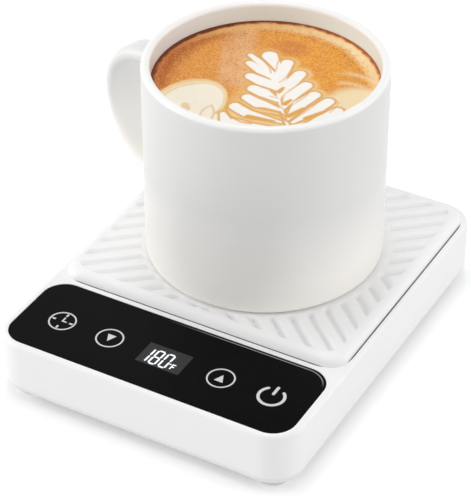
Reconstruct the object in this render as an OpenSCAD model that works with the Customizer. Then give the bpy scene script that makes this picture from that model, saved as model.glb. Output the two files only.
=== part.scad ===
// Electric mug warmer with a touch panel and a ceramic mug standing on its heated plate.
// Millimetres. X runs across the front, -Y is the panel side, Z is up from the feet.

/* [Base] */
// Width of the base
base_w = 123.4; // [112:0.2:140]
// Depth of the base, front to back
base_d = 158.4; // [150:0.2:180]
// Height of the housing without its feet
shell_h = 23.3; // [22:0.1:30]
// Radius of the four upright corners
corner_r = 12.5; // [10:0.5:18]
// Radius of the top edge
top_round = 1.8; // [0.8:0.1:1.8]
// Radius of the bottom edge
bottom_round = 4; // [2.5:0.5:4]
// Wall of the housing and of the cover
wall = 2; // [1.9:0.1:2.4]
// Thickness of the deck round the panel and the plate
deck_t = 2.5; // [2.2:0.1:3]

/* [Feet and screws] */
// Radius of a foot
foot_r = 6.5; // [5:0.1:7]
// Height of the feet below the cover
foot_h = 3; // [2:0.1:5]
// Depth of the seat that a foot is glued into
foot_seat = 0.6; // [0.4:0.1:0.8]
// Rounding of a foot's lower edge
foot_round = 1; // [0.4:0.1:1.4]
// Distance of a foot from the side of the base
foot_inset_x = 11.3; // [10.8:0.1:16]
// Distance of a foot from the front or back of the base
foot_inset_y = 10.8; // [10.8:0.1:16]
// Radius of a case screw's shank
screw_r = 1.4; // [1.2:0.05:1.6]
// Radius of a case screw's head
screw_head_r = 2.8; // [2.4:0.1:3]
// Height of a case screw's head
screw_head_h = 1.6; // [1.4:0.1:1.8]
// Length of a case screw's shank
screw_l = 9; // [7:0.5:10]
// Radius of the screw posts in the housing
boss_r = 3.8; // [3.4:0.1:4.2]

/* [Control panel] */
// Width of the black glass
glass_w = 117.6; // [104:0.2:117.6]
// Depth of the black glass
glass_d = 38.6; // [36:0.2:42]
// Thickness of the black glass
glass_t = 1.8; // [1.5:0.1:2]
// Corner radius of the black glass
glass_r = 9; // [5:0.5:10]
// Distance of the glass from the front of the base
glass_front = 2.2; // [2.2:0.1:4]
// Depth of the glass below the top of the housing
glass_drop = 0.2; // [0.1:0.1:0.4]
// Gap round the glass
glass_gap = 0.1; // [0.05:0.05:0.3]
// Thickness of the floor under the glass
floor_t = 1.6; // [1.2:0.1:2]
// Distance of the row of keys from the front of the glass
key_row = 18.2; // [16:0.2:20]
// Place of the marks' middle across the glass
marks_x = 0.6; // [-1:0.1:1]
// Distance of the two outer keys from the marks' middle
outer_key_x = 43.6; // [40:0.2:46]
// Distance of the two inner keys from the marks' middle
inner_key_x = 23.2; // [20:0.2:26]
// Outer radius of a key's ring
key_r = 5.3; // [4:0.1:6]
// Width of a printed line
line_w = 0.6; // [0.4:0.1:0.8]
// Width of the lines of the power mark
power_line_w = 1.15; // [0.8:0.05:1.4]
// Width of an arrow
arrow_w = 3.5; // [2.5:0.1:5]
// Length of an arrow
arrow_h = 3.9; // [2.5:0.1:5]
// Length of a tick on the clock mark
tick_l = 1.5; // [1:0.1:2]
// Width of a tick on the clock mark
tick_w = 0.8; // [0.4:0.1:1]
// Length of the clock mark's longer hand
hand_l = 2.6; // [1.5:0.1:2.8]
// Depth of the printed marks and of the display's segments
print_t = 0.3; // [0.2:0.05:0.4]
// Height that the marks stand above the glass
print_proud = 0.04; // [0.02:0.02:0.1]
// Height of a display digit
digit_h = 8.4; // [6:0.2:10]
// Width of a display digit
digit_w = 3.3; // [2.6:0.1:3.5]
// Spacing of the display digits
digit_pitch = 4.1; // [3.9:0.1:4.4]
// Width of a display segment
segment_w = 0.72; // [0.4:0.02:0.9]
// Lean of the digits, in degrees
digit_lean = 3; // [0:1:10]
// Distance of the first digit's left side from the marks' middle
digits_left = 8.5; // [7:0.1:8.6]
// Distance of the digits' middle in front of the row of keys
digits_drop = 1.2; // [0:0.1:2]

/* [Heating plate] */
// Depth of the plate, front to back
plate_d = 110.4; // [104:0.2:113]
// Height of the plate above the housing
plate_rise = 3.8; // [2.4:0.1:5]
// Gap round the plate
plate_gap = 0.5; // [0.3:0.05:0.8]
// Corner radius of the plate
plate_r = 10; // [7:0.5:10]
// Rounding of the plate's upper edge
plate_round = 1.8; // [0.8:0.1:2]
// Thickness of the plate's face
plate_t = 2.4; // [2:0.1:3]
// Wall of the plate's skirt
skirt_t = 2.2; // [2:0.1:2.6]
// Spacing of the grooves
groove_pitch = 6.8; // [5:0.1:9]
// Direction of the grooves from the plate's front edge, in degrees
groove_angle = 41; // [35:1:50]
// Width of a groove
groove_w = 2; // [1:0.1:3]
// Depth of a groove
groove_depth = 0.6; // [0.3:0.1:1]
// Flat border outside the grooves
plate_border = 2.6; // [2.4:0.2:8]
// Radius of the smooth disc that the mug stands on
disc_r = 48.6; // [46:0.2:50]
// Place of the smooth disc, forward of the plate's middle
disc_forward = 2; // [0:0.1:4]

/* [Heater] */
// Thickness of the ledge that carries the plate
ledge_t = 1.8; // [1.4:0.1:2.2]
// Width of the ledge
ledge_w = 3.7; // [3:0.1:4.5]
// Thickness of the plate's seal
seal_t = 0.8; // [0.6:0.1:1.2]
// Radius of the heat spreader
spreader_r = 46; // [43:0.5:47]
// Thickness of the heat spreader
spreader_t = 1; // [0.8:0.1:1.5]
// Radius of the heater
heater_r = 42; // [38:0.5:43]
// Thickness of the heater
heater_t = 0.6; // [0.4:0.1:1]
// Radius of the insulation pad
pad_r = 44; // [40:0.5:45]
// Thickness of the heat shield
shield_t = 1.2; // [0.8:0.1:1.4]
// Gap between the heat shield and the housing's walls
shield_gap = 1.2; // [0.8:0.1:2]
// Distance of a plate boss from the plate's middle, across
plate_boss_x = 47; // [46:0.5:50]
// Distance of a plate boss from the plate's middle, front to back
plate_boss_y = 40; // [38:0.5:44]
// Radius of a plate boss
plate_boss_r = 3.5; // [3:0.1:4]
// Radius of a small screw's shank
small_screw_r = 1.2; // [1:0.05:1.3]
// Radius of a small screw's head
small_head_r = 2.2; // [2:0.1:2.4]
// Height of a small screw's head
small_head_h = 1.4; // [1.2:0.1:1.5]
// Radius of the temperature sensor
sensor_r = 3; // [2.5:0.1:3.2]
// Radius of the thermal fuse
fuse_r = 2.2; // [1.8:0.1:2.4]
// Length of the thermal fuse
fuse_l = 11; // [8:0.5:12]
// Radius of an insulated lead
lead_r = 0.9; // [0.6:0.05:1]
// Gap round a lead, sensor or screw where it goes through a plate
pass_gap = 0.4; // [0.2:0.1:0.5]

/* [Electronics] */
// Thickness of a circuit board
board_t = 1.6; // [1.2:0.1:1.8]
// Width of the control board
control_w = 108; // [104:1:110]
// Depth of the control board
control_d = 23; // [21:0.5:24]
// Height of the touch pads between the board and the glass
touch_h = 7.7; // [7:0.1:8.5]
// Radius of a touch pad
touch_r = 4.8; // [4:0.1:5]
// Width of the display block
display_w = 22; // [18:0.5:24]
// Depth of the display block
display_d = 13; // [11:0.5:14]
// Width of the power board
power_w = 64; // [62:1:70]
// Depth of the power board
power_d = 34; // [34:0.5:36]
// Distance of the power board's middle from the back of the base
power_back = 33.2; // [32:0.2:36]
// Height of the power board above the cover's floor
standoff_h = 4; // [3:0.1:4.5]
// Thickness of the ribbon cable
ribbon_t = 0.9; // [0.6:0.1:1.2]
// Width of the ribbon cable
ribbon_w = 10; // [8:0.5:12]
// Place of the relay's middle on the power board
relay_at = [-18.5, 1]; // [-20:0.5:2]
// Width, depth and height of the relay
relay_size = [15, 10, 7.6]; // [5:0.1:16]
// Place of the transformer's middle on the power board
transformer_at = [0, 2]; // [-1:0.5:3]
// Width, depth and height of the transformer
transformer_size = [14, 13, 7.5]; // [5:0.1:15]
// Place of the capacitor's middle on the power board
capacitor_at = [17.5, -5]; // [-6:0.5:19]
// Width, depth and height of the capacitor
capacitor_size = [13, 6, 7]; // [5:0.1:14]
// Place of the fuse's middle on the power board
board_fuse_at = [17.5, 4]; // [3:0.5:19]
// Length of the fuse on the power board
board_fuse_l = 14; // [10:0.5:16]
// Radius of the fuse's caps
board_fuse_r = 2.4; // [2:0.1:2.6]
// Place of the terminal block's middle on the power board
terminal_at = [-14.5, 12.5]; // [-16:0.5:13]
// Width, depth and height of the terminal block
terminal_size = [11, 7, 7]; // [5:0.1:12]
// Place of the chip's middle under the control board
chip_at = [19, 0]; // [-2:0.5:24]
// Width, depth and thickness of the chip
chip_size = [10, 10, 1.5]; // [1:0.1:12]

/* [Cord gland] */
// Radius of the hole that the gland leaves for the cord
gland_bore_r = 2.6; // [2:0.1:3]
// Radius of the gland's neck
gland_neck_r = 3.9; // [3.6:0.1:4.2]
// Radius of the gland's outer collar
gland_collar_r = 5.4; // [5:0.1:5.8]
// Thickness of each collar
gland_collar_t = 1.4; // [1:0.1:1.8]
// Distance of the gland from the middle of the back
gland_x = -30; // [-42:1:-20]
// Height of the gland above the feet
gland_z = 15; // [15:0.2:15.6]

/* [Mug] */
// Outer radius of the mug
mug_r = 45.2; // [40:0.2:46]
// Height of the mug
mug_h = 81; // [74:0.5:95]
// Wall of the mug
mug_wall = 3.4; // [2.8:0.1:4]
// Floor of the mug
mug_floor = 5; // [4:0.2:7]
// Rounding under the mug's wall
mug_foot_round = 3; // [2:0.2:5]
// Rounding inside the mug, between floor and wall
mug_inner_round = 8; // [5:0.5:12]
// Radius of the recess under the mug
mug_recess_r = 34; // [28:0.5:36]
// Depth of the recess under the mug
mug_recess_h = 1; // [0.5:0.1:1.5]
// Place of the mug's axis across the base
mug_x = 0.8; // [-2:0.1:2]
// Place of the mug's axis, forward of the plate's middle
mug_forward = 4.2; // [0:0.1:5]

/* [Mug handle] */
// Direction of the handle, in degrees from +X
handle_angle = 160; // [150:1:180]
// Height of the upper joint on the mug's wall
handle_top_z = 50; // [46:0.5:56]
// Height of the lower joint on the mug's wall
handle_low_z = 11; // [8:0.5:16]
// Reach of the curve's upper control point from the wall
handle_top_pull = 66.8; // [56:0.2:70]
// Rise of the curve's upper control point above the joint
handle_top_rise = 23.6; // [18:0.2:28]
// Reach of the curve's lower control point from the wall
handle_low_pull = 37; // [30:0.2:42]
// Drop of the curve's lower control point below the joint
handle_low_drop = 25.9; // [20:0.1:28]
// Width of the handle's strap
handle_w = 18; // [14:0.2:20]
// Width of the strap at its upper joint
handle_top_w = 10; // [8:0.2:14]
// Thickness of the handle's strap
handle_t = 6; // [4.5:0.1:8]

/* [Drink] */
// Depth of the drink's surface below the mug's rim
drink_drop = 8.5; // [6:0.5:14]
// Space kept round the drink
drink_gap = 0.1; // [0.05:0.05:0.2]

/* [Hidden] */
$fn = 64;
// Overlap that joins two shapes of one piece
join = 0.1;
// Running gap between pieces that only lie near each other
play = 0.1;

// Heights
split_z = foot_h + bottom_round;
cover_top = foot_h + wall;
base_top = foot_h + shell_h;
glass_top = base_top - glass_drop;
glass_z = glass_top - glass_t;
floor_z = glass_z - floor_t;
ledge_top = base_top - deck_t;
ledge_z = ledge_top - ledge_t;
skirt_z = ledge_top + seal_t;
plate_top = base_top + plate_rise;
plate_under = plate_top - plate_t;
spreader_z = plate_under - spreader_t;
heater_z = spreader_z - heater_t;
shield_top = ledge_z;
shield_z = shield_top - shield_t;
rim_z = plate_top + mug_h;

// Plan sizes
inner_w = base_w - 2*wall;
inner_d = base_d - 2*wall;
inner_r = corner_r - wall;
glass_y = -base_d/2 + glass_front + glass_d/2;
key_y = -base_d/2 + glass_front + key_row;
plate_w = inner_w - 2*plate_gap;
opening_w = inner_w;
opening_d = plate_d + 2*plate_gap;
opening_r = plate_r + plate_gap;
bar_w = 2;
opening_front = -base_d/2 + glass_front + glass_d + glass_gap + bar_w;
plate_y = opening_front + opening_d/2;
foot_x = base_w/2 - foot_inset_x;
foot_y = base_d/2 - foot_inset_y;
mug_y = plate_y - mug_forward;

// Cover pads, screw posts and lip
pad_h = 3;
pad_outer_r = screw_head_r + 2.7;
counterbore_r = screw_head_r + 0.2;
pad_top = cover_top + pad_h;
head_z = foot_h + foot_seat + play;
head_top = head_z + screw_head_h;
boss_z = pad_top + play;
rib_z = 10;
lip_t = 1.2;
lip_gap = 0.15;
lip_top = 9.5;

// Control side
touch_z = glass_z - touch_h;
control_z = touch_z - board_t;
control_shift = 6;
control_y = key_y + control_shift;
control_post_r = 2.4;
post_inset = 2.5;
post_back = 3.6;
post_front = 2.9;
control_posts = [[control_w/2 - post_inset, control_d/2 - post_back],
    [(outer_key_x + inner_key_x)/2, post_front - control_d/2]];
display_h = touch_h - 0.3;
window_gap = 0.5;

// Power side
power_y = base_d/2 - power_back;
power_z = cover_top + standoff_h;
power_top = power_z + board_t;
power_post_r = 2.6;
power_post_x = power_w/2 - 4;
power_post_y = power_d/2 - 4;
pilot_gap = 0.05;
small_l = 4;
heater_screw_l = 5;
heater_screw_r = small_screw_r;
ribbon_z = 12;
plug_w = ribbon_w + 4;
plug_d = 6;
leads_x = [-16, -11.5];
leads_in = 7;
leads_y = power_y - power_d/2 + leads_in;
sensor_drop = 1;
sensor_route_z = 15.2;
sensor_in = 4;
sensor_foot = [10, power_y - power_d/2 + sensor_in];
fuse_x = -24;
fuse_y = plate_y - 2;
fuse_z = shield_z - fuse_r - play;
fuse_lead_r = 0.5;
fuse_in = 9;
fuse_back = power_y - power_d/2 + fuse_in;
fuse_reach = 12;
fuse_front = plate_y - fuse_reach;
gland_l = wall + 2*gland_collar_t;

// Rounded rectangle about the origin
module rounded_rect(w, d, r) {
    square([w - 2*r, d], center = true);
    square([w, d - 2*r], center = true);
    for (sx = [-1, 1], sy = [-1, 1])
        translate([sx*(w/2 - r), sy*(d/2 - r)]) circle(r);
}

// A 2D profile carried round a rounded rectangle; its x is measured from the corners' centres
module edge_sweep(w, d, r) {
    for (k = [0:3]) {
        a = k % 2 == 0 ? w : d;
        b = k % 2 == 0 ? d : w;
        rotate([0, 0, 90*k]) translate([a/2 - r, b/2 - r, 0]) {
            rotate([90, 0, 0]) linear_extrude(height = b - 2*r) children();
            rotate_extrude(angle = 90) children();
        }
    }
}

// Upright wall of thickness t whose upper outer edge is rounded
module rounded_wall(r, t, z0, z1, round_r) {
    translate([r - t, z0]) square([t, z1 - round_r - z0]);
    translate([r - t, z1 - round_r - join]) square([t - round_r, round_r + join]);
    intersection() {
        translate([r - round_r, z1 - round_r]) circle(round_r);
        translate([r - round_r, z1 - round_r]) square(round_r);
    }
}

// Rounded slot from a to b
module slot(a, b, w) {
    l = norm(b - a);
    translate(a) rotate([0, 0, atan2(b[1] - a[1], b[0] - a[0])]) {
        translate([0, -w/2]) square([l, w]);
        circle(w/2, $fn = 24);
        translate([l, 0]) circle(w/2, $fn = 24);
    }
}

// Copies at the four corners of a rectangle
module four(x, y) {
    for (sx = [-1, 1], sy = [-1, 1]) translate([sx*x, sy*y, 0]) children();
}

// Straight lead from a to b with a round end at b
module lead(a, b, r) {
    v = b - a;
    translate(a) rotate([0, atan2(norm([v[0], v[1]]), v[2]), atan2(v[1], v[0])])
        cylinder(r = r, h = norm(v), $fn = 24);
    translate(b) sphere(r, $fn = 24);
}

// Housing: walls, deck, glass floor, plate ledge and posts
module top_housing() {
    color("white") difference() {
        union() {
            edge_sweep(base_w, base_d, corner_r)
                rounded_wall(corner_r, wall, split_z, base_top, top_round);
            translate([0, 0, ledge_z]) linear_extrude(height = base_top - ledge_z)
                rounded_rect(inner_w + 2*join, inner_d + 2*join, inner_r + join);
            housing_bar();
            housing_bosses();
        }
        plate_opening();
        glass_opening();
        gland_hole();
    }
    color("white") control_posts();
}

// Wall between the two bays, under the bar that parts the glass from the plate
module housing_bar() {
    bar_z = ribbon_z + ribbon_t + 1.5;
    translate([-inner_w/2 - join, opening_front - bar_w, bar_z])
        cube([inner_w + 2*join, bar_w, ledge_z + join - bar_z]);
}

// Posts for the case screws, each tied to the side wall by a rib
module housing_bosses() {
    boss_top = shield_z - small_head_h - 3*play;
    for (sx = [-1, 1], sy = [-1, 1]) {
        top = sy < 0 ? ledge_z + join : boss_top;
        translate([sx*foot_x, sy*foot_y, 0]) difference() {
            union() {
                translate([0, 0, boss_z]) cylinder(r = boss_r, h = top - boss_z);
                translate([sx > 0 ? 0 : -foot_inset_x + wall - join, -1, rib_z])
                    cube([foot_inset_x - wall + join, 2, boss_top - rib_z]);
            }
            translate([0, 0, boss_z - 1])
                cylinder(r = screw_r + pilot_gap, h = screw_l + 1, $fn = 32);
        }
    }
}

// Opening for the heating plate, the ledge's window and the space under it
module plate_opening() {
    translate([0, plate_y, ledge_top]) linear_extrude(height = deck_t + 1)
        rounded_rect(opening_w, opening_d, opening_r);
    translate([0, plate_y, ledge_z - 1]) linear_extrude(height = ledge_t + 2)
        rounded_rect(opening_w - 2*ledge_w, opening_d - 2*ledge_w, opening_r - ledge_w);
}

// Pocket for the glass, with holes for the touch pads and a window for the display
module glass_opening() {
    translate([0, glass_y, glass_z]) linear_extrude(height = glass_t + 2)
        rounded_rect(glass_w + 2*glass_gap, glass_d + 2*glass_gap, glass_r + glass_gap);
    for (x = [-outer_key_x, -inner_key_x, inner_key_x, outer_key_x])
        translate([marks_x + x, key_y, ledge_z - 1])
            cylinder(r = touch_r + play, h = glass_z - ledge_z + 2);
    translate([marks_x - display_w/2 - window_gap, key_y - display_d/2 - window_gap, ledge_z - 1])
        cube([display_w + 2*window_gap, display_d + 2*window_gap, glass_z - ledge_z + 2]);
}

// Posts that carry the control board under the glass floor
module control_posts() {
    for (p = control_posts, sx = [-1, 1])
        translate([sx*p[0], control_y + p[1], control_z + board_t]) difference() {
            cylinder(r = control_post_r, h = ledge_z - control_z - board_t + join, $fn = 32);
            translate([0, 0, -1]) cylinder(r = small_screw_r + pilot_gap, h = small_l + 1, $fn = 24);
        }
}

// Hole in the back wall for the cord gland
module gland_hole() {
    translate([gland_x, base_d/2 + 1, gland_z]) rotate([90, 0, 0])
        cylinder(r = gland_neck_r + play, h = wall + 2);
}

// Cover: floor with a rounded edge, a lip inside the housing, pads, standoffs and vents
module bottom_cover() {
    color("gainsboro") difference() {
        union() {
            edge_sweep(base_w, base_d, corner_r) cover_profile();
            translate([0, 0, foot_h]) linear_extrude(height = wall)
                rounded_rect(base_w - 2*bottom_round + 2*join, base_d - 2*bottom_round + 2*join,
                    corner_r - bottom_round + join);
            translate([0, 0, cover_top - join]) four(foot_x, foot_y)
                cylinder(r = pad_outer_r, h = pad_h + join);
            translate([0, power_y, cover_top - join]) four(power_post_x, power_post_y)
                cylinder(r = power_post_r, h = standoff_h + join, $fn = 32);
        }
        four(foot_x, foot_y) foot_seat_cut();
        translate([0, power_y, cover_top]) four(power_post_x, power_post_y)
            cylinder(r = small_screw_r + pilot_gap, h = standoff_h + 1, $fn = 24);
        vent_slots();
    }
}

// Quarter-round edge with the locating lip
module cover_profile() {
    difference() {
        intersection() {
            translate([corner_r - bottom_round, split_z]) circle(bottom_round);
            translate([corner_r - bottom_round, foot_h]) square(bottom_round);
        }
        translate([corner_r - bottom_round, split_z]) circle(bottom_round - wall);
    }
    translate([corner_r - wall - lip_gap - lip_t, cover_top - join])
        square([lip_t, lip_top - cover_top + join]);
}

module foot_seat_cut() {
    translate([0, 0, foot_h - 1]) cylinder(r = foot_r + play, h = foot_seat + 1);
    translate([0, 0, foot_h]) cylinder(r = counterbore_r, h = head_top + play - foot_h, $fn = 32);
    translate([0, 0, foot_h]) cylinder(r = screw_r + 0.3, h = pad_top - foot_h + 1, $fn = 32);
}

// Two rows of vent slots under the heater
module vent_slots() {
    vent_w = 2.4;
    vent_l = 20;
    vent_pitch = 11;
    vent_rows = [-14, 12];
    for (k = [-3:3], y = vent_rows)
        translate([0, 0, foot_h - 1]) linear_extrude(height = wall + 2)
            slot([k*vent_pitch, y - vent_l/2], [k*vent_pitch, y + vent_l/2], vent_w);
}

// Soft feet, glued over the case screws
module feet() {
    color("whitesmoke") four(foot_x, foot_y) rotate_extrude() {
        translate([0, foot_round]) square([foot_r, foot_h + foot_seat - play - foot_round]);
        square([foot_r - foot_round, foot_round + join]);
        translate([foot_r - foot_round, foot_round]) circle(foot_round, $fn = 32);
    }
}

// Pan-head screw, head downwards, whose shank starts at z = 0
module pan_screw(r, l, head_r, head_h) {
    cylinder(r = r, h = l, $fn = 32);
    difference() {
        translate([0, 0, -head_h]) cylinder(r = head_r, h = head_h, $fn = 32);
        for (a = [0, 90]) translate([0, 0, -head_h]) rotate([0, 0, a])
            cube([1.2*head_r, 0.5, head_h], center = true);
    }
}

module case_screws() {
    color("silver") four(foot_x, foot_y) translate([0, 0, head_top])
        pan_screw(screw_r, screw_l, screw_head_r, screw_head_h);
}

// Black glass with the pockets that hold the marks
module control_panel() {
    color("black") difference() {
        translate([0, glass_y, glass_z]) linear_extrude(height = glass_t)
            rounded_rect(glass_w, glass_d, glass_r);
        translate([0, 0, glass_top - print_t]) linear_extrude(height = print_t + 1) {
            timer_shape();
            down_shape();
            up_shape();
            power_shape();
            digits_shape();
        }
    }
}

module mark() {
    translate([0, 0, glass_top - print_t]) linear_extrude(height = print_t + print_proud) children();
}

module ring(r, w) {
    difference() {
        circle(r);
        circle(r - w);
    }
}

// Clock face: ring, four ticks and two hands
module timer_shape() {
    tick_start = key_r - line_w - 0.3 - tick_l;
    translate([marks_x - outer_key_x, key_y]) {
        ring(key_r, line_w);
        for (a = [0:90:270]) rotate([0, 0, a]) translate([tick_start, -tick_w/2])
            square([tick_l, tick_w]);
        translate([-line_w/2, -line_w/2]) square([line_w, hand_l]);
        translate([-line_w/2, -line_w/2]) square([0.8*hand_l, line_w]);
    }
}

// Ring with a triangle; dir is 1 for up and -1 for down
module arrow_shape(x, dir) {
    translate([marks_x + x, key_y]) {
        ring(key_r, line_w);
        polygon([[-arrow_w/2, -dir*arrow_h/2], [arrow_w/2, -dir*arrow_h/2], [0, dir*arrow_h/2]]);
    }
}

module down_shape() {
    arrow_shape(-inner_key_x, -1);
}

module up_shape() {
    arrow_shape(inner_key_x, 1);
}

// Broken ring with a bar through the gap
module power_shape() {
    gap_angle = 40;
    mid_r = key_r - power_line_w/2;
    far = 2*key_r;
    translate([marks_x + outer_key_x, key_y]) {
        difference() {
            ring(key_r, power_line_w);
            polygon([[0, 0], [-far*sin(gap_angle), far*cos(gap_angle)], [0, far],
                [far*sin(gap_angle), far*cos(gap_angle)]]);
        }
        for (s = [-1, 1]) translate([s*mid_r*sin(gap_angle), mid_r*cos(gap_angle)])
            circle(power_line_w/2 - 0.03, $fn = 24);
        slot([0, 0.28*key_r], [0, key_r], power_line_w);
    }
}

// Seven-segment digits: a segment is a bar with pointed ends
module segment(a, b) {
    v = (b - a)/norm(b - a);
    n = [-v[1], v[0]]*segment_w/2;
    s = v*segment_w/2;
    g = v*0.1;
    polygon([a + g, a + g + s + n, b - g - s + n, b - g, b - g - s - n, a + g + s - n]);
}

// Segments that each digit lights
digit_segments = ["bc", "abcdefg", "abcdef"];

module digit(name) {
    w = digit_w - segment_w;
    h = digit_h - segment_w;
    p = [[0, 0], [w, 0], [0, h/2], [w, h/2], [0, h], [w, h]];
    ends = [["a", 4, 5], ["b", 3, 5], ["c", 1, 3], ["d", 0, 1], ["e", 0, 2], ["f", 2, 4], ["g", 2, 3]];
    for (e = ends) if (len(search(e[0], name)) > 0) segment(p[e[1]], p[e[2]]);
}

module digits_shape() {
    lean = tan(digit_lean);
    translate([marks_x - digits_left, key_y - digits_drop - digit_h/2])
        multmatrix([[1, lean, 0, 0], [0, 1, 0, 0], [0, 0, 1, 0]]) {
            for (i = [0:2]) translate([i*digit_pitch + segment_w/2, segment_w/2])
                digit(digit_segments[i]);
            translate([3*digit_pitch, 0]) unit_shape();
        }
}

// Degree dot and the letter F beside the digits
module unit_shape() {
    thin = 0.5;
    low = 0.9;
    high = 3.8;
    translate([-0.2, 3.3]) circle(0.36, $fn = 24);
    translate([0.55, low]) square([thin, high - low]);
    translate([0.55, high - thin]) square([1.4, thin]);
    translate([0.55, low + 1.1]) square([1.3, thin]);
}

module timer_icon() {
    color("silver") mark() timer_shape();
}

module down_icon() {
    color("silver") mark() down_shape();
}

module up_icon() {
    color("silver") mark() up_shape();
}

module power_icon() {
    color("silver") mark() power_shape();
}

module display_digits() {
    color("white") mark() digits_shape();
}

// Display block that stands on the control board under the glass
module display_block() {
    color("dimgray") translate([marks_x - display_w/2, key_y - display_d/2, touch_z])
        cube([display_w, display_d, display_h]);
}

// Foam pads that carry the touch fields up to the glass
module touch_pads() {
    color("darkslategray") for (x = [-outer_key_x, -inner_key_x, inner_key_x, outer_key_x])
        translate([marks_x + x, key_y, touch_z]) cylinder(r = touch_r, h = touch_h);
}

module control_board() {
    color("green") translate([0, control_y, control_z]) difference() {
        translate([-control_w/2, -control_d/2, 0]) cube([control_w, control_d, board_t]);
        for (p = control_posts, sx = [-1, 1]) translate([sx*p[0], p[1], -1])
            cylinder(r = small_screw_r + 0.2, h = board_t + 2, $fn = 24);
    }
}

module control_chip() {
    color("dimgray") translate([chip_at[0], control_y + chip_at[1], control_z - chip_size[2]/2])
        cube(chip_size, center = true);
}

// Flat cable with a plug at each end
module ribbon_cable() {
    front = control_y + 4;
    back = power_y - power_d/2 + 4;
    color("lightgray") {
        translate([-ribbon_w/2, front, ribbon_z]) cube([ribbon_w, back - front, ribbon_t]);
        translate([-plug_w/2, front - plug_d/2, ribbon_z - 0.5])
            cube([plug_w, plug_d, control_z - ribbon_z + 0.5]);
        translate([-plug_w/2, back - plug_d/2, power_top])
            cube([plug_w, plug_d, ribbon_z + ribbon_t + 0.5 - power_top]);
    }
}

// Small screws of both boards
module board_screws() {
    color("silver") {
        for (p = control_posts, sx = [-1, 1]) translate([sx*p[0], control_y + p[1], control_z])
            pan_screw(small_screw_r, board_t + small_l - 0.5, small_head_r, small_head_h);
        translate([0, power_y, power_top]) four(power_post_x, power_post_y) mirror([0, 0, 1])
            pan_screw(small_screw_r, board_t + standoff_h - 0.5, small_head_r, small_head_h);
    }
}

// Grooves of one quadrant, from the smooth disc out to the border; c is the disc's centre there
module quadrant_grooves(c) {
    along = [cos(groove_angle), sin(groove_angle)];
    across = [sin(groove_angle), -cos(groove_angle)];
    xm = plate_w/2 - plate_border - groove_w/2;
    ym = plate_d/2 - plate_border - groove_w/2;
    count = floor((xm + ym)/groove_pitch);
    for (k = [-count:count]) {
        o = (k + 0.5)*groove_pitch;
        base = along*c;
        root = base*base - pow(norm(across*o - c), 2) + disc_r*disc_r;
        side = max((groove_w/2 - o*across[0])/along[0], (groove_w/2 - o*across[1])/along[1]);
        inner = max(side, root > 0 ? base + sqrt(root) : side);
        outer = min((xm - o*across[0])/along[0], (ym - o*across[1])/along[1]);
        if (outer - inner > groove_w)
            slot(across*o + along*inner, across*o + along*outer, groove_w);
    }
}

// Raised plate: a shallow pan turned over, with its grooves and four bosses
module heating_plate() {
    color("whitesmoke") difference() {
        translate([0, plate_y, 0]) union() {
            edge_sweep(plate_w, plate_d, plate_r)
                rounded_wall(plate_r, skirt_t, skirt_z, plate_top, plate_round);
            translate([0, 0, plate_under]) linear_extrude(height = plate_t)
                rounded_rect(plate_w - 2*skirt_t + 2*join, plate_d - 2*skirt_t + 2*join,
                    plate_r - skirt_t + join);
            four(plate_boss_x, plate_boss_y) translate([0, 0, shield_top])
                cylinder(r = plate_boss_r, h = plate_under - shield_top + join, $fn = 32);
        }
        translate([0, plate_y, plate_top - groove_depth]) linear_extrude(height = groove_depth + 1)
            for (sx = [-1, 1], sy = [-1, 1]) mirror([sx < 0 ? 1 : 0, 0]) mirror([0, sy < 0 ? 1 : 0])
                quadrant_grooves([sx*mug_x, -sy*disc_forward]);
        translate([0, plate_y, 0]) four(plate_boss_x, plate_boss_y)
            translate([0, 0, shield_top - 1])
                cylinder(r = heater_screw_r + pilot_gap, h = heater_screw_l, $fn = 24);
    }
}

// Silicone ring between the plate's skirt and the ledge
module plate_seal() {
    seal_gap = 0.3;
    color("lightgray") translate([0, plate_y, ledge_top]) linear_extrude(height = seal_t) difference() {
        rounded_rect(plate_w - 2*seal_gap, plate_d - 2*seal_gap, plate_r - seal_gap);
        rounded_rect(opening_w - 2*ledge_w + 2*seal_gap, opening_d - 2*ledge_w + 2*seal_gap,
            opening_r - ledge_w + seal_gap);
    }
}

module heat_spreader() {
    color("silver") translate([0, plate_y, spreader_z]) cylinder(r = spreader_r, h = spreader_t);
}

// Flat heater with a hole for the sensor
module heater_element() {
    color("sandybrown") translate([0, plate_y, heater_z]) difference() {
        cylinder(r = heater_r, h = heater_t);
        translate([0, 0, -1]) cylinder(r = sensor_r + pass_gap, h = heater_t + 2, $fn = 32);
    }
}

// Holes that the leads and the sensor need in the pad and in the shield
module pass_holes() {
    translate([0, plate_y, 0]) cylinder(r = sensor_r + pass_gap, h = plate_top, $fn = 32);
    for (x = leads_x) translate([x, leads_y, 0]) cylinder(r = lead_r + pass_gap, h = plate_top, $fn = 24);
    translate([fuse_x, fuse_front, 0]) cylinder(r = fuse_lead_r + pass_gap, h = plate_top, $fn = 24);
}

module insulation_pad() {
    color("ivory") difference() {
        translate([0, plate_y, shield_top]) cylinder(r = pad_r, h = heater_z - shield_top);
        pass_holes();
    }
}

// Sheet that holds the heater up against the plate
module heat_shield() {
    shield_w = inner_w - 2*shield_gap;
    shield_d = opening_d - 2*shield_gap;
    color("lightsteelblue") difference() {
        translate([0, plate_y, shield_z]) linear_extrude(height = shield_t)
            rounded_rect(shield_w, shield_d, opening_r - shield_gap);
        pass_holes();
        translate([0, plate_y, 0]) four(plate_boss_x, plate_boss_y)
            cylinder(r = heater_screw_r + pass_gap, h = plate_top, $fn = 24);
    }
}

module heater_screws() {
    color("silver") translate([0, plate_y, shield_z]) four(plate_boss_x, plate_boss_y)
        pan_screw(heater_screw_r, shield_t + heater_screw_l - 1.5, small_head_r, small_head_h);
}

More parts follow.
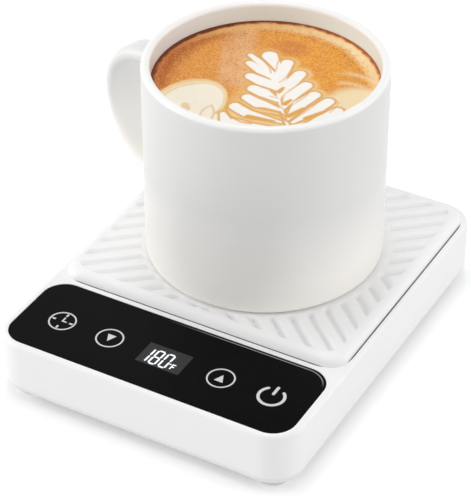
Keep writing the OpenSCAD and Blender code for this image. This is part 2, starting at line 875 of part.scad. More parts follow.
// Sensor pressed against the spreader through the heater, pad and shield
module temperature_sensor() {
    color("orange") translate([0, plate_y, shield_z - sensor_drop])
        cylinder(r = sensor_r, h = spreader_z - shield_z + sensor_drop, $fn = 48);
}

// Lead from the sensor to the power board
module sensor_lead() {
    a = [0, plate_y, shield_z - sensor_drop];
    b = [0, plate_y, sensor_route_z];
    c = [sensor_foot[0], plate_y, sensor_route_z];
    d = [sensor_foot[0], sensor_foot[1], sensor_route_z];
    color("dimgray") {
        lead(a, b, lead_r);
        lead(b, c, lead_r);
        lead(c, d, lead_r);
        translate([d[0], d[1], power_top]) cylinder(r = lead_r, h = d[2] - power_top, $fn = 24);
    }
}

// Thermal fuse under the shield, with one lead up to the heater and one down to the board
module thermal_fuse() {
    low = fuse_y - fuse_l/2;
    high = fuse_y + fuse_l/2;
    color("gray") {
        translate([fuse_x, low, fuse_z]) rotate([-90, 0, 0]) cylinder(r = fuse_r, h = fuse_l, $fn = 48);
        lead([fuse_x, low, fuse_z], [fuse_x, fuse_front, fuse_z], fuse_lead_r);
        lead([fuse_x, high, fuse_z], [fuse_x, fuse_back, fuse_z], fuse_lead_r);
        translate([fuse_x, fuse_front, fuse_z])
            cylinder(r = fuse_lead_r, h = heater_z - fuse_z, $fn = 24);
        translate([fuse_x, fuse_back, power_top])
            cylinder(r = fuse_lead_r, h = fuse_z - power_top, $fn = 24);
    }
}

module heater_leads() {
    color("firebrick") for (x = leads_x) translate([x, leads_y, power_top])
        cylinder(r = lead_r, h = heater_z - power_top, $fn = 24);
}

module power_board() {
    color("green") translate([0, power_y, power_z]) difference() {
        translate([-power_w/2, -power_d/2, 0]) cube([power_w, power_d, board_t]);
        four(power_post_x, power_post_y) translate([0, 0, -1])
            cylinder(r = small_screw_r + 0.2, h = board_t + 2, $fn = 24);
    }
}

// Box on the power board, about a point measured from the board's middle
module on_board(at, size) {
    translate([at[0], power_y + at[1], power_top + size[2]/2]) cube(size, center = true);
}

module relay() {
    color("royalblue") on_board(relay_at, relay_size);
}

// Ferrite core with its coil former
module transformer() {
    w = transformer_size[0];
    d = transformer_size[1];
    h = transformer_size[2];
    color("goldenrod") {
        on_board(transformer_at, [w, d, 0.27*h]);
        on_board(transformer_at, [0.57*w, d, h]);
        on_board(transformer_at, [w, 0.62*d, 0.87*h]);
    }
}

module capacitor() {
    color("peru") on_board(capacitor_at, capacitor_size);
}

// Glass fuse lying between two end caps
module board_fuse() {
    r = board_fuse_r;
    l = board_fuse_l;
    cap_l = 0.22*l;
    color("silver") translate([board_fuse_at[0] - l/2, power_y + board_fuse_at[1], power_top + r])
        rotate([0, 90, 0]) {
            cylinder(r = r - 0.3, h = l, $fn = 32);
            cylinder(r = r, h = cap_l, $fn = 32);
            translate([0, 0, l - cap_l]) cylinder(r = r, h = cap_l, $fn = 32);
        }
}

// Two-way terminal for the supply, with its screw wells
module terminal_block() {
    w = terminal_size[0];
    h = terminal_size[2];
    color("seagreen") difference() {
        on_board(terminal_at, terminal_size);
        for (s = [-1, 1]) translate([terminal_at[0] + s*0.24*w, power_y + terminal_at[1],
                power_top + 0.6*h])
            cylinder(r = 0.15*w, h = h, $fn = 24);
    }
}

// Rubber bush in the back wall
module cord_gland() {
    inside = base_d/2 - wall - gland_collar_t;
    color("whitesmoke") translate([gland_x, inside, gland_z]) rotate([-90, 0, 0]) difference() {
        union() {
            cylinder(r = gland_collar_r - 0.4, h = gland_collar_t);
            cylinder(r = gland_neck_r, h = gland_l);
            translate([0, 0, gland_l - gland_collar_t]) cylinder(r = gland_collar_r, h = gland_collar_t);
        }
        translate([0, 0, -1]) cylinder(r = gland_bore_r, h = gland_l + 2);
    }
}

// Quarter disc of radius r in the first quadrant about its centre
module quarter(r) {
    intersection() {
        circle(r);
        square(r);
    }
}

// Mug wall, floor and rounded lip, turned about its axis
module mug_body() {
    inner = mug_r - mug_wall;
    lip_z = mug_h - mug_wall/2;
    foot = mug_foot_round;
    fillet = mug_inner_round;
    color("white") translate([mug_x, mug_y, plate_top]) rotate_extrude($fn = 128) {
        difference() {
            union() {
                translate([0, foot]) square([mug_r, lip_z - foot]);
                square([mug_r - foot, foot + join]);
                translate([mug_r - foot, foot]) mirror([0, 1]) quarter(foot);
            }
            translate([0, mug_floor + fillet]) square([inner, mug_h]);
            translate([0, mug_floor]) square([inner - fillet, fillet + join]);
            translate([inner - fillet, mug_floor + fillet]) mirror([0, 1]) quarter(fillet);
            translate([0, -1]) square([mug_recess_r, mug_recess_h + 1]);
        }
        intersection() {
            translate([mug_r - mug_wall/2, lip_z]) circle(mug_wall/2, $fn = 32);
            translate([inner, lip_z]) square(mug_wall);
        }
    }
}

// Middle line of the handle's strap in the plane through the mug's axis
function handle_point(t) =
    let (sink = 1.8,
        p = [[mug_r - sink, handle_top_z],
            [mug_r + handle_top_pull, handle_top_z + handle_top_rise],
            [mug_r + handle_low_pull, handle_low_z - handle_low_drop],
            [mug_r - sink, handle_low_z]],
        u = 1 - t)
    p[0]*u*u*u + p[1]*3*u*u*t + p[2]*3*u*t*t + p[3]*t*t*t;

// Width of the strap at t: it narrows towards the upper joint
function handle_width(t) =
    let (near = max(1 - 2*t, 0))
    handle_w - (handle_w - handle_top_w)*near*near*(3 - 2*near);

// Ring of the strap at t: a flattened oval, square to the middle line
function handle_ring(t, sides) =
    let (c = handle_point(t),
        d = handle_point(t + 0.01) - handle_point(t - 0.01),
        n = [d[1], -d[0]]/norm(d))
    [for (i = [0:sides - 1])
        let (a = 360*i/sides,
            w = handle_width(t)/2*sin(a),
            h = handle_t/2*sign(cos(a))*pow(abs(cos(a)), 0.8))
        [c[0] + n[0]*h, w, c[1] + n[1]*h]];

// Handle strap, trimmed where it meets the mug's wall
module mug_handle() {
    steps = 36;
    sides = 20;
    points = [for (k = [0:steps]) each handle_ring(k/steps, sides)];
    walls = [for (k = [0:steps - 1], i = [0:sides - 1])
        let (j = (i + 1) % sides, a = k*sides, b = a + sides)
        each [[a + i, a + j, b + j], [a + i, b + j, b + i]]];
    first = [for (i = [1:sides - 2]) [0, i + 1, i]];
    last = [for (i = [1:sides - 2]) [steps*sides, steps*sides + i, steps*sides + i + 1]];
    color("white") translate([mug_x, mug_y, plate_top]) difference() {
        rotate([0, 0, handle_angle]) polyhedron(points, concat(walls, first, last));
        translate([0, 0, -1]) cylinder(r = mug_r + 0.02, h = mug_h + 2, $fn = 128);
    }
}

// Drink that fills the mug, turned about its axis
module latte() {
    round_r = mug_inner_round - drink_gap;
    wide = mug_r - mug_wall - drink_gap;
    low = mug_floor + drink_gap;
    color("peru") translate([mug_x, mug_y, plate_top]) rotate_extrude($fn = 128) {
        translate([0, low + round_r]) square([wide, mug_h - drink_drop - low - round_r]);
        translate([0, low]) square([wide - round_r, round_r + join]);
        translate([wide - round_r, low + round_r]) mirror([0, 1]) quarter(round_r);
    }
}

top_housing();
bottom_cover();
feet();
case_screws();
control_panel();
timer_icon();
down_icon();
up_icon();
power_icon();
display_digits();
display_block();
touch_pads();
control_board();
control_chip();
ribbon_cable();
board_screws();
heating_plate();
plate_seal();
heat_spreader();
heater_element();
insulation_pad();
heat_shield();
heater_screws();
temperature_sensor();
sensor_lead();
thermal_fuse();
heater_leads();
power_board();
relay();
transformer();
capacitor();
board_fuse();
terminal_block();
cord_gland();
mug_body();
mug_handle();
latte();
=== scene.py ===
"""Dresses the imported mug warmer: camera, lights, finishes and the pieces with soft shapes."""

import math

import bpy
import numpy as np
from mathutils import Matrix, Vector


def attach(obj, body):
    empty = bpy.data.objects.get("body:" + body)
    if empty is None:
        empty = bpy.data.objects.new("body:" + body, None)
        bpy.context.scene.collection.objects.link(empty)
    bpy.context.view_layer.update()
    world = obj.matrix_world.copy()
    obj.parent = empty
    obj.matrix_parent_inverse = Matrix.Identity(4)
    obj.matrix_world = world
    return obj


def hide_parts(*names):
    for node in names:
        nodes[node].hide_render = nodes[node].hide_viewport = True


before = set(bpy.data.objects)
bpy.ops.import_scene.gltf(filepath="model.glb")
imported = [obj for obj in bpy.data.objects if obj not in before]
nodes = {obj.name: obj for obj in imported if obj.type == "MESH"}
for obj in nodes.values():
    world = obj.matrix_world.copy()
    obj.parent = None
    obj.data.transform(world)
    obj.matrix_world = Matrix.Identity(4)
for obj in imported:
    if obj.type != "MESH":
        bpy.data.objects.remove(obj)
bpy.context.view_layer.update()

MM = 0.001

# Places and sizes shared with the part's source, in millimetres
PLATE_W = 118.4
PLATE_D = 110.4
PLATE_Y = 19.4
PLATE_TOP = 30.1
PLATE_CORNER = 10.0
PLATE_UNDER = 27.7
DECK_Z = 26.3
SKIRT_Z = 24.6
SKIRT_T = 2.2
DISC_R = 48.6
DISC_FORWARD = 2.0
GLASS_W = 117.6
GLASS_D = 38.6
GLASS_Y = -57.7
GROOVE_PITCH = 6.8
GROOVE_ANGLE = math.radians(41)
MUG_X = 0.8
MUG_Y = 15.2
MUG_R = 45.2
MUG_H = 81.0
MUG_WALL = 3.4
MUG_FLOOR = 5.0
MUG_FOOT_ROUND = 3.0
MUG_INNER_ROUND = 8.0
MUG_RECESS_R = 34.0
MUG_RECESS_H = 1.0
HANDLE_ANGLE = 160.0
HANDLE_W = 18.0
HANDLE_TOP_W = 10.0
HANDLE_T = 6.0
DRINK_DROP = 8.5
DRINK_GAP = 0.1

# Sizes of the scene's own softer forms, in millimetres
PLATE_BORDER = 3.4
PLATE_EDGE_W = 4.2
PLATE_EDGE_H = 3.5
GROOVE_W = 2.2
GROOVE_DEPTH = 1.3
GROOVE_WALL = 2.0
GROOVE_END = 1.8
DRINK_ROUND = 1.2
# Handle's middle line: (distance from the mug's axis, height above the plate)
HANDLE_CURVE = ((43.4, 50), (111.2, 73.6), (81.7, -14.9), (43.4, 11))

# Edges that turn by more than this stay sharp in the shading
SMOOTH_ANGLE = math.radians(35)

# Camera: its direction in degrees, and its place from the aim along its own axes, in metres
CAMERA_AZIMUTH = 29.278
CAMERA_ELEVATION = 36.379
CAMERA_AIM = (0.0, -0.07745, 0.0263)
CAMERA_RIGHT = 0.03524
CAMERA_UP = 0.04784
CAMERA_BACK = 0.7456
CAMERA_LENS = 152.3
CAMERA_SENSOR = 36.0
CAMERA_SHIFT = (-0.001, 0.001)
CAMERA_CLIP = 0.01

# Softboxes: name, azimuth and elevation in degrees, size in metres, power in watts
SOFTBOXES = (
    ("left_softbox", -65, 12, 0.6, 3.65),
    ("right_softbox", 118, 18, 0.6, 2.25),
    ("top_softbox", 0, 85, 0.6, 2.15),
    ("back_softbox", -150, 75, 0.2, 1.1),
    ("front_softbox", 29, 8, 0.6, 1.25),
)
SOFTBOX_DISTANCE = 0.9
SOFTBOX_AIM = (0.0, 0.0, 0.05)
# Strength of the white world as light; where it shows as a background it is 1
SKY_LIGHT = 0.42

# Floor: size in metres, grey, and glow near the object with what is added between two distances
FLOOR_SIZE = 6.0
FLOOR_GREY = 0.93
NEAR_GLOW = 0.22
FAR_GLOW = 0.5
GLOW_RISE = (0.2, 0.9)


def srgb(red, green, blue):
    """Linear colour of an 8-bit screen colour."""
    out = []
    for value in (red, green, blue):
        value /= 255
        out.append(value / 12.92 if value <= 0.04045 else ((value + 0.055) / 1.055) ** 2.4)
    return (*out, 1.0)


def darker(colour, level):
    """The colour with its three parts multiplied by the level."""
    return tuple(part * level for part in colour[:3]) + (1.0,)


def direction(azimuth, elevation):
    """Unit vector from the object, with the azimuth in degrees from -Y towards +X."""
    turn, rise = math.radians(azimuth), math.radians(elevation)
    return Vector(
        (math.sin(turn) * math.cos(rise), -math.cos(turn) * math.cos(rise), math.sin(rise))
    )


# Shader helpers


def add_node(tree, kind, inputs=None, **settings):
    """New shader node with its settings, and its inputs linked or set."""
    made = tree.nodes.new(kind)
    for name, value in settings.items():
        setattr(made, name, value)
    for name, value in (inputs or {}).items():
        if isinstance(value, bpy.types.NodeSocket):
            tree.links.new(value, made.inputs[name])
        else:
            made.inputs[name].default_value = value
    return made


def calc(tree, operation, a, b=0.0, clamp=False):
    """Output of a math node."""
    made = add_node(tree, "ShaderNodeMath", {0: a, 1: b}, operation=operation, use_clamp=clamp)
    return made.outputs[0]


def product(tree, first, *others):
    """Output of several values multiplied."""
    for other in others:
        first = calc(tree, "MULTIPLY", first, other)
    return first


def share(tree, value, start, end, kind="SMOOTHSTEP"):
    """Output that goes from 0 at start to 1 at end."""
    return add_node(
        tree,
        "ShaderNodeMapRange",
        {"Value": value, "From Min": start, "From Max": end},
        interpolation_type=kind,
    ).outputs["Result"]


def spread_over(tree, value, low, high):
    """Output that goes from low to high as the value goes from 0 to 1."""
    return add_node(
        tree, "ShaderNodeMapRange", {"Value": value, "To Min": low, "To Max": high}
    ).outputs["Result"]


def blend_colours(tree, factor, first, second):
    """Output of a colour mix."""
    made = add_node(tree, "ShaderNodeMix", data_type="RGBA")
    for socket, value in (("Factor_Float", factor), ("A_Color", first), ("B_Color", second)):
        spot = next(s for s in made.inputs if s.identifier == socket)
        if isinstance(value, bpy.types.NodeSocket):
            tree.links.new(value, spot)
        else:
            spot.default_value = value
    return next(s for s in made.outputs if s.identifier == "Result_Color")


def coordinates(tree):
    """Output of the object's coordinates."""
    return add_node(tree, "ShaderNodeTexCoord").outputs["Object"]


def axes(tree, place):
    """Outputs X, Y and Z of a place."""
    return add_node(tree, "ShaderNodeSeparateXYZ", {"Vector": place}).outputs


def length(tree, vector):
    """Output of a vector's length."""
    made = add_node(tree, "ShaderNodeVectorMath", {0: vector}, operation="LENGTH")
    return made.outputs["Value"]


def attribute(tree, name):
    """Output of a value that the mesh carries."""
    return add_node(tree, "ShaderNodeAttribute", attribute_name=name).outputs["Fac"]


def grain(tree, place, size, detail=2.0):
    """Noise whose blobs are about size millimetres."""
    return add_node(
        tree, "ShaderNodeTexNoise", {"Vector": place, "Scale": 1 / (size * MM), "Detail": detail}
    ).outputs["Fac"]


def sway(tree, place, size, spread):
    """Noise about 0, whose blobs are about size millimetres."""
    return calc(tree, "MULTIPLY", calc(tree, "SUBTRACT", grain(tree, place, size), 0.5), spread)


def roughen(tree, shader, height, strength, depth):
    """Bump of the given depth in millimetres."""
    bump = add_node(
        tree, "ShaderNodeBump", {"Height": height, "Strength": strength, "Distance": depth * MM}
    )
    tree.links.new(bump.outputs["Normal"], shader.inputs["Normal"])


def new_finish(name, colour, roughness, metal=0.0, specular=0.5):
    """Material, its tree, its shader and the object's coordinates."""
    finish = bpy.data.materials.new(name)
    finish.use_nodes = True
    tree = finish.node_tree
    shader = tree.nodes["Principled BSDF"]
    shader.inputs["Base Color"].default_value = colour
    shader.inputs["Roughness"].default_value = roughness
    shader.inputs["Metallic"].default_value = metal
    shader.inputs["Specular IOR Level"].default_value = specular
    return finish, tree, shader, coordinates(tree)


# Modelling helpers


def clear_selection():
    """Object mode with nothing selected."""
    if bpy.context.object and bpy.context.object.mode != "OBJECT":
        bpy.ops.object.mode_set(mode="OBJECT")
    bpy.ops.object.select_all(action="DESELECT")


def settle(piece, name, finish, body):
    """Named, finished and riding on its body, with its place in its mesh."""
    clear_selection()
    bpy.context.view_layer.objects.active = piece
    piece.select_set(True)
    bpy.ops.object.transform_apply(location=True, rotation=True, scale=True)
    bpy.ops.object.shade_smooth_by_angle(angle=SMOOTH_ANGLE)
    piece.name = name
    piece.data.name = name
    piece.data.materials.clear()
    piece.data.materials.append(finish)
    piece.select_set(False)
    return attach(piece, body)


def close_mesh():
    """Leaves edit mode with the faces pointing outwards."""
    bpy.ops.mesh.select_all(action="SELECT")
    bpy.ops.mesh.normals_make_consistent(inside=False)
    bpy.ops.object.mode_set(mode="OBJECT")


def cut_edges(piece, cuts, wanted):
    """Subdivides the edges whose two ends are wanted; starts and stays in edit mode."""
    bpy.ops.mesh.select_all(action="DESELECT")
    bpy.ops.object.mode_set(mode="OBJECT")
    for edge in piece.data.edges:
        edge.select = wanted(*(piece.data.vertices[v].co for v in edge.vertices))
    bpy.ops.object.mode_set(mode="EDIT")
    bpy.ops.mesh.select_mode(type="EDGE")
    bpy.ops.mesh.subdivide(number_cuts=cuts)
    bpy.ops.mesh.select_mode(type="FACE")


def carry_face(points, x=0.0, y=0.0):
    """Extrudes the selected face through (scale in x, scale in y, height) about x, y."""
    for (sx0, sy0, z0), (sx1, sy1, z1) in zip(points, points[1:]):
        bpy.ops.mesh.extrude_region_move(TRANSFORM_OT_translate={"value": (0, 0, (z1 - z0) * MM)})
        bpy.ops.transform.resize(
            value=(sx1 / sx0, sy1 / sy0, 1), center_override=(x * MM, y * MM, z1 * MM)
        )


def turned(profile, x, y, sides):
    """Round solid about the upright axis at x, y; the profile is a list of (radius, height)."""
    clear_selection()
    bpy.ops.mesh.primitive_circle_add(
        vertices=sides,
        radius=profile[0][0] * MM,
        fill_type="NGON",
        location=(x * MM, y * MM, profile[0][1] * MM),
    )
    piece = bpy.context.object
    bpy.ops.object.mode_set(mode="EDIT")
    bpy.ops.mesh.select_all(action="SELECT")
    carry_face([(r, r, z) for r, z in profile], x, y)
    close_mesh()
    return piece


def arc(x, z, radius, start, end, steps):
    """Points (radius, height) of an arc about (x, z), angles in degrees from +x."""
    angles = [math.radians(start + (end - start) * k / steps) for k in range(steps + 1)]
    return [(x + radius * math.cos(a), z + radius * math.sin(a)) for a in angles]


def ease(start, end, value):
    """Smooth step from 0 at start to 1 at end."""
    t = np.clip((value - start) / (end - start), 0, 1)
    return t * t * (3 - 2 * t)


def read_places(mesh):
    """Array of the mesh's points, one row each."""
    place = np.zeros(len(mesh.vertices) * 3)
    mesh.vertices.foreach_get("co", place)
    return place.reshape(-1, 3)


def write_field(mesh, name, values):
    """Keeps one value for each point of the mesh, for its material."""
    mesh.attributes.new(name, "FLOAT", "POINT").data.foreach_set("value", values)


# Camera, lights and floor


def place_camera():
    """Long lens at the photograph's angle, from the front right."""
    back = direction(CAMERA_AZIMUTH, CAMERA_ELEVATION)
    right = (-back).cross(Vector((0, 0, 1))).normalized()
    up = right.cross(-back)
    place = back * CAMERA_BACK + right * CAMERA_RIGHT + up * CAMERA_UP + Vector(CAMERA_AIM)
    lens = bpy.data.cameras.new("camera")
    lens.lens = CAMERA_LENS
    lens.sensor_width = CAMERA_SENSOR
    lens.shift_x, lens.shift_y = CAMERA_SHIFT
    lens.clip_start = CAMERA_CLIP
    camera = bpy.data.objects.new("camera", lens)
    bpy.context.scene.collection.objects.link(camera)
    turned_to = Matrix((right, up, back)).transposed().to_4x4()
    camera.matrix_world = Matrix.Translation(place) @ turned_to
    bpy.context.scene.camera = camera


def softbox(name, azimuth, elevation, size, power):
    """Square studio light that faces the object."""
    back = direction(azimuth, elevation)
    lamp = bpy.data.lights.new(name, "AREA")
    lamp.shape = "SQUARE"
    lamp.size = size
    lamp.energy = power
    light = bpy.data.objects.new(name, lamp)
    bpy.context.scene.collection.objects.link(light)
    light.location = Vector(SOFTBOX_AIM) + back * SOFTBOX_DISTANCE
    light.rotation_mode = "QUATERNION"
    light.rotation_quaternion = back.to_track_quat("Z", "Y")


def background_rays(tree):
    """1 for the rays that show a background: camera, glossy and transmission."""
    rays = add_node(tree, "ShaderNodeLightPath").outputs
    shown = calc(tree, "MAXIMUM", rays["Is Camera Ray"], rays["Is Glossy Ray"])
    return calc(tree, "MAXIMUM", shown, rays["Is Transmission Ray"])


def light_studio():
    """World that is white where it shows and dimmer as light, and the softboxes."""
    world = bpy.data.worlds.new("studio")
    bpy.context.scene.world = world
    world.use_nodes = True
    tree = world.node_tree
    sky = tree.nodes["Background"]
    sky.inputs["Color"].default_value = (1, 1, 1, 1)
    strength = spread_over(tree, background_rays(tree), SKY_LIGHT, 1.0)
    tree.links.new(strength, sky.inputs["Strength"])
    for box in SOFTBOXES:
        softbox(*box)


def lay_floor():
    """Pale floor that keeps the shadow and turns white away from the object."""
    clear_selection()
    bpy.ops.mesh.primitive_plane_add(size=FLOOR_SIZE, location=(0, 0, 0))
    floor = bpy.context.object
    floor.name = "floor"
    grey = (FLOOR_GREY, FLOOR_GREY, FLOOR_GREY, 1)
    paper, tree, shader, place = new_finish("floor_paper", grey, 0.9, specular=0.0)
    shader.inputs["Emission Color"].default_value = (1, 1, 1, 1)
    far = share(tree, length(tree, place), *GLOW_RISE)
    glow = calc(tree, "ADD", NEAR_GLOW, calc(tree, "MULTIPLY", far, FAR_GLOW))
    glow = calc(tree, "MULTIPLY", background_rays(tree), glow)
    tree.links.new(glow, shader.inputs["Emission Strength"])
    floor.data.materials.append(paper)


# Finishes


def moulded(name, colour, roughness, spread=0.03, grain_size=0.35, depth=0.01, coat=0.0):
    """Moulded plastic or rubber: faint flow marks, a fine grain and uneven gloss."""
    finish, tree, shader, place = new_finish(name, colour, roughness)
    flow = grain(tree, place, 18.0)
    tint = blend_colours(tree, flow, darker(colour, 1 - spread), colour)
    tree.links.new(tint, shader.inputs["Base Color"])
    fine = grain(tree, place, grain_size)
    gloss = spread_over(tree, fine, roughness - 0.05, roughness + 0.05)
    tree.links.new(gloss, shader.inputs["Roughness"])
    shader.inputs["Coat Weight"].default_value = coat
    shader.inputs["Coat Roughness"].default_value = 0.15
    roughen(tree, shader, fine, 0.4, depth)
    return finish


def metal(name, colour, roughness, stretch=(1, 1, 1), size=0.6):
    """Metal with rolled or turned marks along one way."""
    finish, tree, shader, place = new_finish(name, colour, roughness, metal=1.0)
    drawn = add_node(tree, "ShaderNodeMapping", {"Vector": place, "Scale": stretch}).outputs[0]
    marks = grain(tree, drawn, size, 4.0)
    tint = blend_colours(tree, marks, darker(colour, 0.82), colour)
    tree.links.new(tint, shader.inputs["Base Color"])
    roughen(tree, shader, marks, 0.3, 0.01)
    return finish


def glazed_ceramic():
    """White glaze, faintly uneven, with painted light: paler at the foot, a highlight on the lip,
    paler and cooler inside the mug.
    """
    finish, tree, shader, place = new_finish("white_glaze", srgb(236, 236, 235), 0.35, specular=0.3)
    at = axes(tree, place)
    cloud = grain(tree, place, 30.0)
    tint = blend_colours(tree, cloud, srgb(227, 227, 226), srgb(233, 233, 232))
    # Painted light: the glaze turns paler and warmer towards the foot, lighting the lower wall.
    foot_top, foot_low = (PLATE_TOP + 42) * MM, (PLATE_TOP + 12) * MM
    foot = share(tree, at["Z"], foot_top, foot_low, "LINEAR")
    tint = blend_colours(tree, foot, tint, srgb(252, 249, 244))
    # Painted light: the inner wall is paler and cooler, against the drink's warm bounce and the
    # shade inside the mug.
    across = calc(tree, "SUBTRACT", at["X"], MUG_X * MM)
    along = calc(tree, "SUBTRACT", at["Y"], MUG_Y * MM)
    away = calc(tree, "ADD", calc(tree, "POWER", across, 2.0), calc(tree, "POWER", along, 2.0))
    inner_r = MUG_R - MUG_WALL + 0.1
    inside = share(tree, away, ((inner_r + 0.4) * MM) ** 2, (inner_r * MM) ** 2, "LINEAR")
    above = share(tree, at["Z"], (PLATE_TOP + 8) * MM, (PLATE_TOP + 9) * MM, "LINEAR")
    inside = calc(tree, "MULTIPLY", inside, above)
    tint = blend_colours(tree, inside, tint, srgb(239, 249, 251))
    # Painted highlight: a paler band along the lip.
    rim = PLATE_TOP + MUG_H
    lip = share(tree, at["Z"], (rim - 2.2) * MM, (rim - 0.8) * MM)
    tint = blend_colours(tree, lip, tint, srgb(248, 248, 247))
    tree.links.new(tint, shader.inputs["Base Color"])
    shader.inputs["Coat Weight"].default_value = 0.15
    shader.inputs["Coat Roughness"].default_value = 0.12
    roughen(tree, shader, grain(tree, place, 9.0), 0.15, 0.05)
    return finish


def display_window(tree, place):
    """1 inside the display's window, with soft edges."""
    middle, size, soft = (0.65, -59.1), (18.1, 11.7), 0.3
    at = axes(tree, place)
    inside = []
    for axis, centre, width in zip("XY", middle, size):
        off = calc(tree, "ABSOLUTE", calc(tree, "SUBTRACT", at[axis], centre * MM))
        reach = calc(tree, "SUBTRACT", width / 2 * MM, off)
        inside.append(calc(tree, "DIVIDE", reach, soft * MM, clamp=True))
    return calc(tree, "MULTIPLY", *inside)


def bevel_glint(tree, place):
    """1 on the thin line of light inside the glass's back right edge."""
    corner, inset = 9.6, 0.95
    at = axes(tree, place)
    over = []
    for axis, centre, width in (("X", 0.0, GLASS_W), ("Y", GLASS_Y, GLASS_D)):
        off = calc(tree, "ABSOLUTE", calc(tree, "SUBTRACT", at[axis], centre * MM))
        past = calc(tree, "SUBTRACT", off, (width / 2 - corner) * MM)
        over.append(calc(tree, "MAXIMUM", past, 0.0))
    span = add_node(tree, "ShaderNodeCombineXYZ", {"X": over[0], "Y": over[1]}).outputs[0]
    off = calc(tree, "SUBTRACT", length(tree, span), (corner - inset) * MM)
    line = share(tree, calc(tree, "ABSOLUTE", off), 0.3 * MM, 0.1 * MM)
    back = share(tree, at["Y"], -46 * MM, -41.5 * MM)
    right = share(tree, at["X"], -14 * MM, 22 * MM)
    return product(tree, line, back, right)


def panel_glass():
    """Black printed glass with the display's grey window."""
    finish, tree, shader, place = new_finish("panel_glass", srgb(12, 12, 12), 0.12, specular=0.04)
    smudge = grain(tree, place, 14.0)
    black = blend_colours(tree, smudge, srgb(9, 9, 9), srgb(14, 14, 14))
    grey = blend_colours(tree, smudge, srgb(56, 56, 57), srgb(62, 62, 63))
    tint = blend_colours(tree, display_window(tree, place), black, grey)
    tint = blend_colours(tree, bevel_glint(tree, place), tint, srgb(150, 150, 150))
    tree.links.new(tint, shader.inputs["Base Color"])
    tree.links.new(spread_over(tree, smudge, 0.08, 0.16), shader.inputs["Roughness"])
    return finish


def lit_marks(name, colour, glow):
    """Printed or lit marks on the glass."""
    finish, tree, shader, place = new_finish(name, colour, 0.5)
    fine = grain(tree, place, 0.5)
    tint = blend_colours(tree, fine, darker(colour, 0.93), colour)
    tree.links.new(tint, shader.inputs["Base Color"])
    tree.links.new(tint, shader.inputs["Emission Color"])
    shader.inputs["Emission Strength"].default_value = glow
    return finish


def circuit_board():
    """Green solder mask with tracks under it."""
    green = srgb(18, 92, 44)
    finish, tree, shader, place = new_finish("solder_mask", green, 0.35)
    track_pitch = 2.5 * MM
    scaled = add_node(
        tree, "ShaderNodeMapping", {"Vector": place, "Scale": (1 / track_pitch,) * 3}
    ).outputs[0]
    tracks = add_node(
        tree,
        "ShaderNodeTexBrick",
        {
            "Vector": scaled,
            "Color1": (1, 1, 1, 1),
            "Color2": (1, 1, 1, 1),
            "Mortar": (0, 0, 0, 1),
            "Scale": 1.0,
            "Mortar Size": 0.05,
        },
    ).outputs
    tint = blend_colours(tree, tracks["Color"], srgb(30, 120, 60), green)
    tree.links.new(tint, shader.inputs["Base Color"])
    roughen(tree, shader, tracks["Fac"], 0.3, 0.03)
    return finish


def heater_film():
    """Amber film with the heater's ring-shaped tracks."""
    amber = srgb(196, 120, 50)
    finish, tree, shader, place = new_finish("heater_film", amber, 0.3)
    centred = add_node(
        tree,
        "ShaderNodeMapping",
        {"Vector": place, "Location": (0, -PLATE_Y * MM, 0), "Scale": (1, 1, 0)},
    ).outputs[0]
    rings = add_node(
        tree,
        "ShaderNodeTexWave",
        {"Vector": centred, "Scale": 60.0, "Distortion": 0.0},
        wave_type="RINGS",
        rings_direction="Z",
    ).outputs["Fac"]
    track = calc(tree, "GREATER_THAN", rings, 0.5)
    tint = blend_colours(tree, track, amber, srgb(120, 70, 40))
    tree.links.new(tint, shader.inputs["Base Color"])
    roughen(tree, shader, track, 0.3, 0.05)
    return finish


def felt():
    """Pale ceramic-fibre felt."""
    finish, tree, shader, place = new_finish("fibre_felt", srgb(232, 226, 208), 0.9)
    fibres = grain(tree, place, 0.8, 8.0)
    tint = blend_colours(tree, fibres, srgb(205, 198, 178), srgb(240, 236, 222))
    tree.links.new(tint, shader.inputs["Base Color"])
    roughen(tree, shader, fibres, 0.8, 0.3)
    return finish


